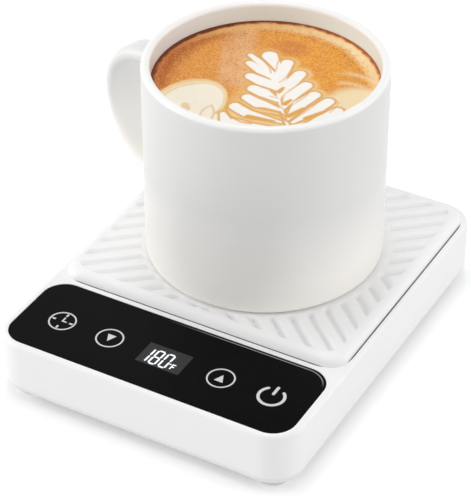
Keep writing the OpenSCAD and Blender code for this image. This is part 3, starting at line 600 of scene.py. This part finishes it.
def finish_cad_nodes():
    """A finish for every CAD node that stays."""
    white = moulded("white_housing", srgb(245, 245, 245), 0.42, spread=0.01, coat=0.15)
    cover = moulded("white_cover", srgb(238, 238, 238), 0.55, spread=0.02, depth=0.02)
    rubber = moulded("white_rubber", srgb(228, 228, 226), 0.75, spread=0.03, depth=0.03)
    silicone = moulded("grey_silicone", srgb(190, 190, 190), 0.6, spread=0.03, depth=0.02)
    steel = metal("zinc_steel", srgb(190, 190, 196), 0.35, size=0.5)
    sheet = metal("galvanised_sheet", srgb(176, 180, 188), 0.45, (1, 0.2, 1), 4.0)
    aluminium = metal("rolled_aluminium", srgb(205, 207, 210), 0.35, (1, 0.05, 1), 0.4)
    # The printed icons glow faintly: painted light.
    print_grey = lit_marks("printed_marks", srgb(200, 200, 200), 0.15)
    board = circuit_board()
    black = moulded("black_plastic", srgb(40, 40, 42), 0.45)
    finishes = {
        "top_housing": white,
        "bottom_cover": cover,
        "feet": rubber,
        "cord_gland": rubber,
        "case_screws": steel,
        "board_screws": steel,
        "heater_screws": steel,
        "control_panel": panel_glass(),
        "timer_icon": print_grey,
        "down_icon": print_grey,
        "up_icon": print_grey,
        "power_icon": print_grey,
        "display_digits": lit_marks("lit_digits", srgb(240, 242, 245), 0.35),
        "display_block": black,
        "touch_pads": moulded("grey_foam", srgb(70, 72, 75), 0.9, depth=0.1, grain_size=0.6),
        "control_board": board,
        "power_board": board,
        "control_chip": black,
        "ribbon_cable": moulded("ribbon_grey", srgb(200, 200, 205), 0.5, spread=0.05),
        "plate_seal": silicone,
        "heat_spreader": aluminium,
        "heater_element": heater_film(),
        "insulation_pad": felt(),
        "heat_shield": sheet,
        "temperature_sensor": moulded("sensor_ceramic", srgb(205, 130, 80), 0.6),
        "sensor_lead": moulded("dark_lead", srgb(50, 50, 52), 0.6),
        "heater_leads": moulded("red_lead", srgb(165, 40, 32), 0.55),
        "thermal_fuse": aluminium,
        "board_fuse": steel,
        "relay": moulded("relay_blue", srgb(45, 85, 170), 0.4),
        "transformer": moulded("transformer_tape", srgb(214, 180, 60), 0.5, spread=0.08),
        "capacitor": moulded("capacitor_brown", srgb(180, 120, 70), 0.4),
        "terminal_block": moulded("terminal_green", srgb(40, 130, 75), 0.45),
    }
    for name, finish in finishes.items():
        slots = nodes[name].material_slots
        if not slots:
            nodes[name].data.materials.append(finish)
        for spot in slots:
            spot.material = finish


# Heating plate


def groove_depth(x, y):
    """Depth of the soft grooves at places measured from the plate's middle, in millimetres."""
    across = np.abs(x) * math.sin(GROOVE_ANGLE) - np.abs(y) * math.cos(GROOVE_ANGLE)
    middle = 0.5 * GROOVE_PITCH + GROOVE_W / 2
    off = np.abs((across - middle + GROOVE_PITCH / 2) % GROOVE_PITCH - GROOVE_PITCH / 2)
    shape = 1 - ease(0.1, 0.1 + GROOVE_WALL, off)
    disc = np.hypot(x - MUG_X, y + DISC_FORWARD) - DISC_R + GROOVE_END
    over_x = np.maximum(np.abs(x) - PLATE_W / 2 + PLATE_CORNER, 0)
    over_y = np.maximum(np.abs(y) - PLATE_D / 2 + PLATE_CORNER, 0)
    straight = np.minimum(PLATE_W / 2 - np.abs(x), PLATE_D / 2 - np.abs(y))
    round_off = PLATE_CORNER - np.hypot(over_x, over_y)
    side = np.minimum(straight, np.where((over_x > 0) & (over_y > 0), round_off, straight))
    return GROOVE_DEPTH * shape * ease(0, GROOVE_END, np.minimum(disc, side - PLATE_BORDER))


def plate_enamel():
    """White enamel with painted shade: a little greyer in its grooves, and dark grey below the deck
    where the gap to the housing shows.
    """
    finish = moulded("white_enamel", srgb(245, 245, 245), 0.45, spread=0.01, coat=0.1)
    tree = finish.node_tree
    shader = tree.nodes["Principled BSDF"]
    white = shader.inputs["Base Color"].links[0].from_socket
    height = axes(tree, coordinates(tree))["Z"]
    # Painted shade: greyer where the grooves are deeper.
    tint = blend_colours(tree, attribute(tree, "groove"), white, srgb(233, 233, 235))
    # Painted shadow: the plate's wall below the deck, seen in the gap to the housing, is dark grey.
    gap_shadow = share(tree, height, (DECK_Z + 0.1) * MM, (DECK_Z - 0.05) * MM)
    tint = blend_colours(tree, gap_shadow, tint, srgb(132, 132, 134))
    tree.links.new(tint, shader.inputs["Base Color"])
    return finish


def make_plate():
    """Raised plate: a rounded pan turned over, whose face carries the soft grooves."""
    clear_selection()
    bpy.ops.mesh.primitive_plane_add(size=1, location=(0, 0, PLATE_UNDER * MM))
    plate = bpy.context.object
    inner_w, inner_d = PLATE_W - 2 * SKIRT_T, PLATE_D - 2 * SKIRT_T
    corner_steps, edge_steps, side_cuts, face_cuts = 20, 12, 200, 64
    face_border, chamfer = 27, 0.2
    plate.scale = (inner_w * MM, inner_d * MM, 1)
    bpy.ops.object.transform_apply(location=True, rotation=True, scale=True)
    bpy.ops.object.mode_set(mode="EDIT")
    bpy.ops.mesh.select_all(action="SELECT")
    bpy.ops.mesh.bevel(
        offset=(PLATE_CORNER - SKIRT_T) * MM, segments=corner_steps, profile=0.5, affect="VERTICES"
    )
    cut_edges(plate, side_cuts, lambda a, b: (a - b).length > 20 * MM)
    bpy.ops.mesh.select_all(action="SELECT")

    def ring(inset, height):
        """Scales and height of a ring inset from the plate's outline."""
        scale_x = (PLATE_W / 2 - inset) / (inner_w / 2)
        scale_y = (PLATE_D / 2 - inset) / (inner_d / 2)
        return scale_x, scale_y, height

    path = [ring(SKIRT_T, PLATE_UNDER), ring(SKIRT_T, SKIRT_Z), ring(chamfer, SKIRT_Z)]
    path += [ring(0, SKIRT_Z + chamfer), ring(0, DECK_Z), ring(0, PLATE_TOP - PLATE_EDGE_H)]
    for k in range(1, edge_steps + 1):
        a = math.pi / 2 * k / edge_steps
        inset = PLATE_EDGE_W * (1 - math.cos(a))
        path.append(ring(inset, PLATE_TOP - PLATE_EDGE_H * (1 - math.sin(a))))
    face_inset = PLATE_EDGE_W + face_border
    path.append(ring(face_inset, PLATE_TOP))
    carry_face(path)
    top = (PLATE_TOP - 0.01) * MM
    # Half sizes of a box 1 mm outside the innermost ring
    half_w, half_d = (PLATE_W / 2 - face_inset + 1) * MM, (PLATE_D / 2 - face_inset + 1) * MM

    def inner(v):
        """Whether a point is on the innermost ring."""
        return abs(v.x) < half_w and abs(v.y) < half_d

    cut_edges(plate, face_cuts, lambda a, b: min(a.z, b.z) > top and inner(a) != inner(b))
    close_mesh()
    place = read_places(plate.data)
    face = place[:, 2] > (PLATE_TOP - 0.001) * MM
    depth = np.where(face, groove_depth(place[:, 0] / MM, place[:, 1] / MM), 0)
    place[:, 2] -= depth * MM
    place[:, 1] += PLATE_Y * MM
    plate.data.vertices.foreach_set("co", place.ravel())
    plate.data.update()
    write_field(plate.data, "groove", depth / GROOVE_DEPTH)
    settle(plate, "warming_plate", plate_enamel(), "base")
    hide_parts("heating_plate")


# Mug


def make_mug():
    """Mug turned from its profile, with a strap handle drawn along its curve and joined to it."""
    sides = 160
    inner = MUG_R - MUG_WALL
    lip = MUG_WALL / 2
    foot, bowl = MUG_FOOT_ROUND, MUG_INNER_ROUND
    profile = [(MUG_RECESS_R, MUG_RECESS_H), (MUG_RECESS_R, 0.4), (MUG_RECESS_R + 0.6, 0)]
    profile.append((MUG_R - foot, 0))
    profile += arc(MUG_R - foot, foot, foot, -90, 0, 8)[1:]
    profile += [(MUG_R, z) for z in range(10, 80, 10)]
    profile += arc(MUG_R - lip, MUG_H - lip, lip, 0, 180, 16)
    profile += [(inner, z) for z in range(70, 10, -10)]
    profile += arc(inner - bowl, MUG_FLOOR + bowl, bowl, 0, -90, 10)
    profile.append((10, MUG_FLOOR))
    mug = turned([(r, z + PLATE_TOP) for r, z in profile], MUG_X, MUG_Y, sides)
    handle = draw_handle()
    clear_selection()
    bpy.context.view_layer.objects.active = mug
    mug.select_set(True)
    joined = mug.modifiers.new("handle", "BOOLEAN")
    joined.operation = "UNION"
    joined.solver = "EXACT"
    joined.object = handle
    bpy.ops.object.modifier_apply(modifier=joined.name)
    bpy.data.objects.remove(handle)
    settle(mug, "mug", glazed_ceramic(), "mug")
    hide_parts("mug_body", "mug_handle")


def handle_curve(t):
    """Point (distance from the axis, height) and direction of the strap's middle line."""
    p = [Vector(v) for v in HANDLE_CURVE]
    u = 1 - t
    point = p[0] * u**3 + p[1] * 3 * u * u * t + p[2] * 3 * u * t * t + p[3] * t**3
    slope = (p[1] - p[0]) * u * u + (p[2] - p[1]) * 2 * u * t + (p[3] - p[2]) * t * t
    return point, slope.normalized()


def handle_width(t):
    """Width of the strap, which narrows towards its upper joint."""
    return HANDLE_W - (HANDLE_W - HANDLE_TOP_W) * float(ease(0.5, 0, t))


def draw_handle():
    """Oval strap, extruded along the handle's curve in the plane of -X and turned to its place."""
    clear_selection()
    half_w, half_t = HANDLE_TOP_W / 2, HANDLE_T / 2
    corner, corner_steps, steps = half_t * 0.95, 8, 48
    point, slope = handle_curve(0)
    bpy.ops.mesh.primitive_plane_add(size=2)
    handle = bpy.context.object
    handle.scale = (half_t * MM, half_w * MM, 1)
    bpy.ops.object.transform_apply(location=False, rotation=False, scale=True)
    bpy.ops.object.mode_set(mode="EDIT")
    bpy.ops.mesh.select_all(action="SELECT")
    bpy.ops.mesh.bevel(
        offset=corner * MM, segments=corner_steps, profile=0.5, affect="VERTICES"
    )
    bpy.ops.object.mode_set(mode="OBJECT")
    lean = math.atan2(-slope.x, slope.y)
    handle.rotation_euler = (0, lean, 0)
    handle.location = (-point.x * MM, 0, point.y * MM)
    bpy.ops.object.transform_apply(location=True, rotation=True, scale=True)
    bpy.ops.object.mode_set(mode="EDIT")
    bpy.ops.mesh.select_all(action="SELECT")
    before = point
    for k in range(1, steps + 1):
        point, slope = handle_curve(k / steps)
        step = point - before
        bpy.ops.mesh.extrude_region_move(
            TRANSFORM_OT_translate={"value": (-step.x * MM, 0, step.y * MM)}
        )
        angle = math.atan2(-slope.x, slope.y)
        centre = (-point.x * MM, 0, point.y * MM)
        bpy.ops.transform.rotate(value=lean - angle, orient_axis="Y", center_override=centre)
        wider = handle_width(k / steps) / handle_width((k - 1) / steps)
        bpy.ops.transform.resize(value=(1, wider, 1), center_override=centre)
        lean, before = angle, point
    close_mesh()
    handle.rotation_euler = (0, 0, math.radians(HANDLE_ANGLE - 180))
    handle.location = (MUG_X * MM, MUG_Y * MM, PLATE_TOP * MM)
    bpy.ops.object.transform_apply(location=True, rotation=True, scale=True)
    return handle


# Drink

# Petals of the poured leaf: (x, y, radius) at both ends, in millimetres from the mug's axis
PETALS = (
    (-7.2, 16.2, 2.9, 0.4, 9.4, 1.3),
    (0.9, 14.9, 2.2, 3.0, 5.0, 2.6),
    (-13.6, 13.2, 1.0, -8.0, 10.4, 1.5),
    (-8.0, 10.4, 1.5, 0.0, 5.6, 1.1),
    (-11.2, 8.1, 1.5, -5.0, 5.6, 2.2),
    (-5.0, 5.6, 2.2, 2.0, 3.4, 1.6),
    (-6.3, 0.2, 2.1, -1.0, -0.9, 2.6),
    (-1.0, -0.9, 2.6, 5.2, -1.6, 2.4),
    (-1.5, -6.6, 2.2, 3.0, -7.4, 2.6),
    (3.0, -7.4, 2.6, 9.6, -9.3, 1.1),
    (-0.4, -12.9, 2.1, 5.0, -14.4, 2.7),
    (5.0, -14.4, 2.7, 14.2, -14.6, 0.6),
    (-1.3, -20.2, 2.3, 4.6, -22.2, 2.3),
    (4.6, -22.2, 2.3, 17.6, -21.4, 0.5),
    (8.6, 10.2, 2.3, 8.5, 2.0, 2.5),
    (8.5, 2.0, 2.5, 9.9, -8.0, 0.6),
    (14.1, 4.4, 2.3, 12.7, -4.0, 2.5),
    (12.7, -4.0, 2.5, 14.2, -13.6, 0.6),
    (19.7, 0.2, 2.2, 18.0, -8.0, 2.5),
    (18.0, -8.0, 2.5, 18.9, -19.0, 0.6),
    (26.2, -1.2, 2.1, 24.4, -9.0, 2.4),
    (24.4, -9.0, 2.4, 21.4, -19.6, 0.6),
    (31.8, -5.2, 2.1, 29.6, -12.0, 2.3),
    (29.6, -12.0, 2.3, 25.0, -23.2, 0.6),
    (35.6, -11.6, 1.9, 33.0, -17.0, 2.1),
    (33.0, -17.0, 2.1, 28.4, -26.6, 0.6),
    (3.4, -29.4, 2.2, 9.0, -29.2, 2.2),
    (9.0, -29.2, 2.2, 21.6, -25.2, 0.5),
    (10.6, -34.4, 2.1, 16.0, -33.0, 2.1),
    (16.0, -33.0, 2.1, 25.0, -28.4, 0.5),
    (3.4, 4.8, 2.4, 4.2, -0.6, 2.6),
    (-2.6, -26.6, 1.2, 1.2, -31.0, 2.2),
)
# Middle line of the leaf's stem
STEM = ((4.2, 1.0), (8.4, -6.2), (13.4, -13.2), (19.0, -20.0), (24.8, -26.4), (29.0, -30.0))
# Golden spots where the crema shows through the milk
SPOTS = (
    (7.7, -0.9, 0.5, 7.6, -4.0, 1.0),
    (13.9, -6.9, 0.6, 13.2, -10.2, 1.1),
    (20.4, -9.8, 0.7, 18.2, -16.6, 1.1),
    (27.4, -8.8, 0.8, 24.3, -15.0, 1.0),
    (6.0, -23.9, 1.3, 15.4, -21.9, 0.4),
)
# Paler spot in the milk cloud
FAINT_SPOTS = ((-17.6, -27.8, 0.9, -16.0, -30.0, 1.3),)
# Golden lines that the jug drew through the milk
LINES = (
    ((-1.6, -17.2), (2.0, -18.6), (7.4, -19.4), (12.0, -18.6), (16.0, -18.2), (19.4, -19.9)),
    ((6.6, -16.9), (9.8, -16.0), (14.6, -16.2), (17.0, -17.4), (19.0, -19.6)),
    ((-3.9, -19.0), (-4.0, -21.4), (-2.2, -24.9), (1.2, -26.8), (5.4, -28.0), (9.0, -27.2)),
)
# Thin seams of crema between the petals
SEAMS = (
    ((-11.0, 14.0), (-8.0, 12.2), (-5.0, 10.2), (-2.6, 8.0), (-1.0, 5.8)),
    ((-3.0, 16.5), (-2.2, 13.2), (-1.2, 10.6), (-0.4, 8.8)),
    ((4.2, 13.0), (4.8, 9.0), (5.1, 5.0), (4.8, 1.4)),
    ((-8.0, 3.4), (-4.5, 2.9), (-2.0, 2.7), (0.2, 2.2)),
    ((-4.8, -3.8), (-1.5, -3.9), (2.0, -3.7), (5.0, -4.0), (7.2, -5.2)),
    ((11.6, 6.0), (11.3, 3.0), (10.6, -1.0), (10.2, -4.4), (10.2, -7.4)),
    ((17.2, 2.0), (17.4, -1.6), (16.8, -5.6), (15.9, -9.8), (15.5, -13.2)),
    ((22.6, -0.4), (22.9, -5.4), (22.2, -11.0), (20.9, -16.6)),
    ((-0.6, -10.4), (3.4, -11.6), (8.0, -11.9), (12.0, -12.2), (14.6, -13.6)),
    ((6.2, -8.2), (9.4, -8.2)),
    ((29.4, 0.2), (30.2, -3.4), (29.9, -7.4)),
)
# Faint lines round the small petals at the front left
FAINT_LINES = (
    ((-9.0, -23.6), (-10.2, -27.6), (-9.2, -32.0)),
    ((-9.0, -23.6), (-6.0, -27.2), (-4.6, -31.6)),
    ((-4.4, -24.0), (-5.4, -27.6), (-4.6, -31.6)),
    ((-4.4, -24.0), (-1.4, -27.2), (0.8, -31.0)),
)
# Pale lines in the crema on the right
PALE_LINES = (
    ((19.5, 17.6), (25.0, 19.4), (30.0, 19.6), (36.0, 18.4)),
    ((24.0, 12.0), (28.0, 13.4), (33.0, 13.2), (37.0, 11.4)),
)
# Crema with a little milk in it
PALE_CREMA = srgb(242, 207, 148)


def bar(x, y, x0, y0, r0, x1, y1, r1):
    """Distance from a bar with round ends and a taper, negative inside."""
    dx, dy = x1 - x0, y1 - y0
    t = np.clip(((x - x0) * dx + (y - y0) * dy) / (dx * dx + dy * dy), 0, 1)
    return np.hypot(x - x0 - t * dx, y - y0 - t * dy) - (r0 + t * (r1 - r0))


def oval(x, y, x0, y0, rx, ry):
    """0 at the middle of an oval and 1 on its edge."""
    return np.hypot((x - x0) / rx, (y - y0) / ry)


def nearest(x, y, bars=(), lines=(), half=0.35):
    """Distance from the nearest of some bars and smooth lines; half is half a line's width."""
    found = [bar(x, y, *spot) for spot in bars]
    for line in lines:
        turns = np.linspace(0, len(line) - 1, 6 * len(line))
        before = np.clip(turns.astype(int), 0, len(line) - 2)
        points = np.array(line)
        slopes = np.gradient(points, axis=0)
        t = (turns - before)[:, None]
        smooth = (
            (2 * t**3 - 3 * t**2 + 1) * points[before]
            + (t**3 - 2 * t**2 + t) * slopes[before]
            + (3 * t**2 - 2 * t**3) * points[before + 1]
            + (t**3 - t**2) * slopes[before + 1]
        )
        found += [bar(x, y, *a, half, *b, half) for a, b in zip(smooth, smooth[1:])]
    return np.minimum.reduce(found)


def poured_milk(x, y):
    """Fields of the drink's top by name: distances in millimetres, and shares from 0 to 1."""
    leaf = nearest(x, y, PETALS, (STEM,), 0.45)
    cloud_x = -16.8
    cloud_r = np.where(x < cloud_x, 13.2, 12.6)
    cloud = (oval(x, y, cloud_x, -26.5, cloud_r, 17.4) - 1) * 14
    cloud *= 1 + 1.3 * ease(-24, -8, x)
    low = (oval(x, y, -2.5, -34.0, 11.0, 10.0) - 1) * 10
    ground = ease(3.6, 0.8, leaf) * (0.3 + 0.6 * ease(-4, 8, x))
    below = ease(8, 2, leaf) * ease(3, -6, y) * ease(-10, 2, x) * 0.9
    cream = ease(0, 0.42, 1 - oval(x, y, 37, 3, 15, 13))
    pale = np.exp(-((nearest(x, y, (), PALE_LINES, 0.0) / 1.3) ** 2)) * ease(18, 26, x) * 0.55
    # Painted reflection: a pink band of light across the left of the drink.
    pink_reflection = ease(9, 3, nearest(x, y, ((-24, 25, 0, -11, -4, 0),)))
    dusk = ease(1, 0.2, oval(x, y, -3, 25, 11, 8))
    return {
        "leaf": leaf,
        "gold": np.minimum(nearest(x, y, SPOTS, LINES), nearest(x, y, (), SEAMS, 0.1)),
        "faint": nearest(x, y, FAINT_SPOTS, FAINT_LINES, 0.0),
        "cloud": np.minimum(cloud, low),
        "ground": np.maximum(ground, below),
        "cream": np.maximum(cream, pale),
        "reflection_and_tone": 0.5 + 0.5 * pink_reflection - 0.5 * dusk * (1 - pink_reflection),
    }


def crema_ground(tree, place, field, rightward, leftward, reach):
    """Orange crema, deeper in places, with a painted pink reflection on the left, and painted brown
    shade towards the left of the rim.
    """
    tint = blend_colours(tree, rightward, srgb(231, 156, 72), srgb(239, 164, 60))
    # Painted reflection: rosier along the pink band on the left.
    painted_reflection = share(tree, field["reflection_and_tone"], 0.5, 1.0)
    tint = blend_colours(tree, painted_reflection, tint, srgb(235, 179, 126))
    deep = share(tree, field["reflection_and_tone"], 0.5, 0.0)
    tint = blend_colours(tree, deep, tint, srgb(219, 134, 60))
    cloudy = calc(tree, "MULTIPLY", share(tree, grain(tree, place, 7.0, 3.0), 0.35, 0.7), 0.4)
    tint = blend_colours(tree, cloudy, tint, srgb(217, 140, 66))
    shade = calc(tree, "MULTIPLY", share(tree, reach, 30.0, 39.0), leftward)
    return blend_colours(tree, shade, tint, srgb(170, 84, 24))


def crema_specks(tree, tint, fine):
    """Fine dark specks and pale glints over the crema."""
    speck = calc(tree, "MULTIPLY", share(tree, fine, 0.5, 0.3), 0.45)
    tint = blend_colours(tree, speck, tint, srgb(160, 76, 18))
    glint = calc(tree, "MULTIPLY", share(tree, fine, 0.52, 0.7), 0.4)
    return blend_colours(tree, glint, tint, srgb(252, 200, 130))


def froth_band(tree, tint, place, rightward, back, reach):
    """Pale patchy froth inside the rim, wider at the back, with a belt of small holes."""
    froth = blend_colours(tree, rightward, srgb(232, 178, 112), srgb(250, 222, 172))
    edge = calc(tree, "SUBTRACT", 38.6, calc(tree, "MULTIPLY", back, 2.4))
    past_edge = share(tree, calc(tree, "SUBTRACT", reach, edge), -1.6, 1.8)
    band = calc(tree, "MULTIPLY", past_edge, share(tree, reach, 41.6, 40.4))
    patchy = calc(tree, "ADD", 0.2, calc(tree, "MULTIPLY", back, 0.7))
    uneven = calc(tree, "ADD", 0.5, grain(tree, place, 3.0, 3.0))
    patchy = calc(tree, "MULTIPLY", patchy, uneven)
    band = calc(tree, "MULTIPLY", band, patchy, clamp=True)
    tint = blend_colours(tree, band, tint, froth)
    cells = add_node(tree, "ShaderNodeTexVoronoi", {"Vector": place, "Scale": 900.0})
    holes = share(tree, cells.outputs["Distance"], 0.34, 0.16)
    belt = calc(
        tree, "MULTIPLY", share(tree, reach, 29.0, 34.5), share(tree, reach, 40.0, 36.5)
    )
    return blend_colours(tree, product(tree, holes, belt, 0.75), tint, srgb(156, 84, 34))


def milk_cloud(tree, tint, field, ripple, swirl):
    """Milk cloud at the front left, with its pale edge, its ring and its faint marks."""
    cloud = calc(tree, "ADD", field["cloud"], ripple)
    milky = blend_colours(tree, swirl, srgb(247, 233, 208), srgb(252, 245, 231))
    tint = blend_colours(tree, share(tree, cloud, 0.7, -0.7), tint, PALE_CREMA)
    tint = blend_colours(tree, share(tree, cloud, -0.8, -3.4), tint, milky)
    faint = calc(tree, "MULTIPLY", share(tree, field["faint"], 0.75, 0.1), 0.6)
    tint = blend_colours(tree, faint, tint, srgb(228, 184, 116))
    ring = calc(tree, "ABSOLUTE", calc(tree, "ADD", cloud, 3.0))
    ring = calc(tree, "MULTIPLY", share(tree, ring, 1.0, 0.1), 0.55)
    return blend_colours(tree, ring, tint, srgb(230, 188, 118))


def poured_leaf(tree, tint, field, ripple, swirl):
    """White petals with their tan outline, and the golden spots, lines and seams in them."""
    leaf = calc(tree, "ADD", field["leaf"], calc(tree, "MULTIPLY", ripple, 0.5))
    leaf = calc(tree, "SUBTRACT", leaf, 0.1)
    outline = calc(tree, "MULTIPLY", share(tree, leaf, 1.25, 0.4), 0.85)
    tint = blend_colours(tree, outline, tint, srgb(222, 164, 90))
    foam = blend_colours(tree, swirl, srgb(250, 244, 234), srgb(255, 253, 249))
    tint = blend_colours(tree, share(tree, leaf, 0.3, -0.5), tint, foam)
    gold = calc(tree, "ADD", field["gold"], calc(tree, "MULTIPLY", ripple, 0.4))
    return blend_colours(tree, share(tree, gold, 0.6, -0.4), tint, srgb(228, 168, 84))


def crema(names):
    """Coffee crema with milk and the poured leaf, drawn from the named fields of the mesh."""
    finish, tree, shader, place = new_finish("crema", srgb(228, 158, 76), 0.5, specular=0.2)
    field = {name: attribute(tree, name) for name in names}
    middle = (MUG_X * MM, MUG_Y * MM, 0)
    centred = add_node(
        tree, "ShaderNodeVectorMath", {0: place, 1: middle}, operation="SUBTRACT"
    ).outputs[0]
    at = axes(tree, centred)
    flat = add_node(tree, "ShaderNodeCombineXYZ", {"X": at["X"], "Y": at["Y"]}).outputs[0]
    # Distance from the mug's axis in millimetres, a little uneven
    reach = calc(tree, "ADD", length(tree, flat), sway(tree, place, 4.0, 2.2 * MM))
    reach = calc(tree, "DIVIDE", reach, MM)
    # Shares towards the right, the left and the back of the drink
    rightward = share(tree, at["X"], -34 * MM, 24 * MM)
    leftward = calc(tree, "SUBTRACT", 1.0, share(tree, at["X"], -36 * MM, -20 * MM))
    back = share(tree, at["Y"], 0.0, 34 * MM)
    fine = grain(tree, place, 0.55)

    tint = crema_ground(tree, place, field, rightward, leftward, reach)
    tint = crema_specks(tree, tint, fine)
    tint = froth_band(tree, tint, place, rightward, back, reach)
    tint = blend_colours(tree, field["ground"], tint, PALE_CREMA)
    tint = blend_colours(tree, field["cream"], tint, srgb(248, 224, 182))
    outward = calc(tree, "ADD", reach, calc(tree, "MULTIPLY", leftward, 0.5))
    brown = blend_colours(tree, rightward, srgb(112, 50, 18), srgb(176, 92, 46))
    tint = blend_colours(tree, share(tree, outward, 40.6, 41.6), tint, brown)
    ripple = sway(tree, place, 2.5, 0.9)
    swirl = add_node(
        tree,
        "ShaderNodeTexNoise",
        {"Vector": place, "Scale": 90.0, "Detail": 4.0, "Distortion": 1.5},
    ).outputs["Fac"]
    tint = milk_cloud(tree, tint, field, ripple, swirl)
    tint = poured_leaf(tree, tint, field, ripple, swirl)
    tree.links.new(tint, shader.inputs["Base Color"])
    roughen(tree, shader, fine, 0.3, 0.08)
    return finish


def make_drink():
    """Latte that fills the mug: a turned solid whose top carries the poured leaf."""
    sides, rings = 420, 129
    top = PLATE_TOP + MUG_H - DRINK_DROP
    low = PLATE_TOP + MUG_FLOOR
    inner = MUG_R - MUG_WALL - DRINK_GAP
    bowl = MUG_INNER_ROUND
    reach = inner - DRINK_ROUND
    profile = [(0.3, top), (reach, top)]
    profile += arc(reach, top + DRINK_ROUND, DRINK_ROUND, -90, -15, 5)[1:]
    profile += [(inner, top + DRINK_ROUND * 0.75), (inner, low + bowl)]
    profile += arc(inner - bowl, low + DRINK_GAP + bowl, bowl, 0, -90, 8)[1:]
    drink = turned(profile, MUG_X, MUG_Y, sides)
    clear_selection()
    bpy.context.view_layer.objects.active = drink
    bpy.ops.object.mode_set(mode="EDIT")
    # The mesh is measured from the object's own place until it settles
    surface = top * MM - drink.location.z
    near = 1e-6

    def spoke(a, b):
        """Whether an edge runs across the drink's top, from its middle to its rim."""
        level = abs(a.z - surface) < near and abs(b.z - surface) < near
        return level and abs(a.xy.length - b.xy.length) > 10 * MM

    cut_edges(drink, rings, spoke)
    bpy.ops.object.mode_set(mode="OBJECT")
    place = read_places(drink.data)
    fields = poured_milk(place[:, 0] / MM, place[:, 1] / MM)
    for name, values in fields.items():
        write_field(drink.data, name, values)
    settle(drink, "poured_latte", crema(fields), "mug")
    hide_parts("latte")


place_camera()
light_studio()
lay_floor()
finish_cad_nodes()
make_plate()
make_mug()
make_drink()

bpy.context.scene.view_settings.view_transform = "Standard"
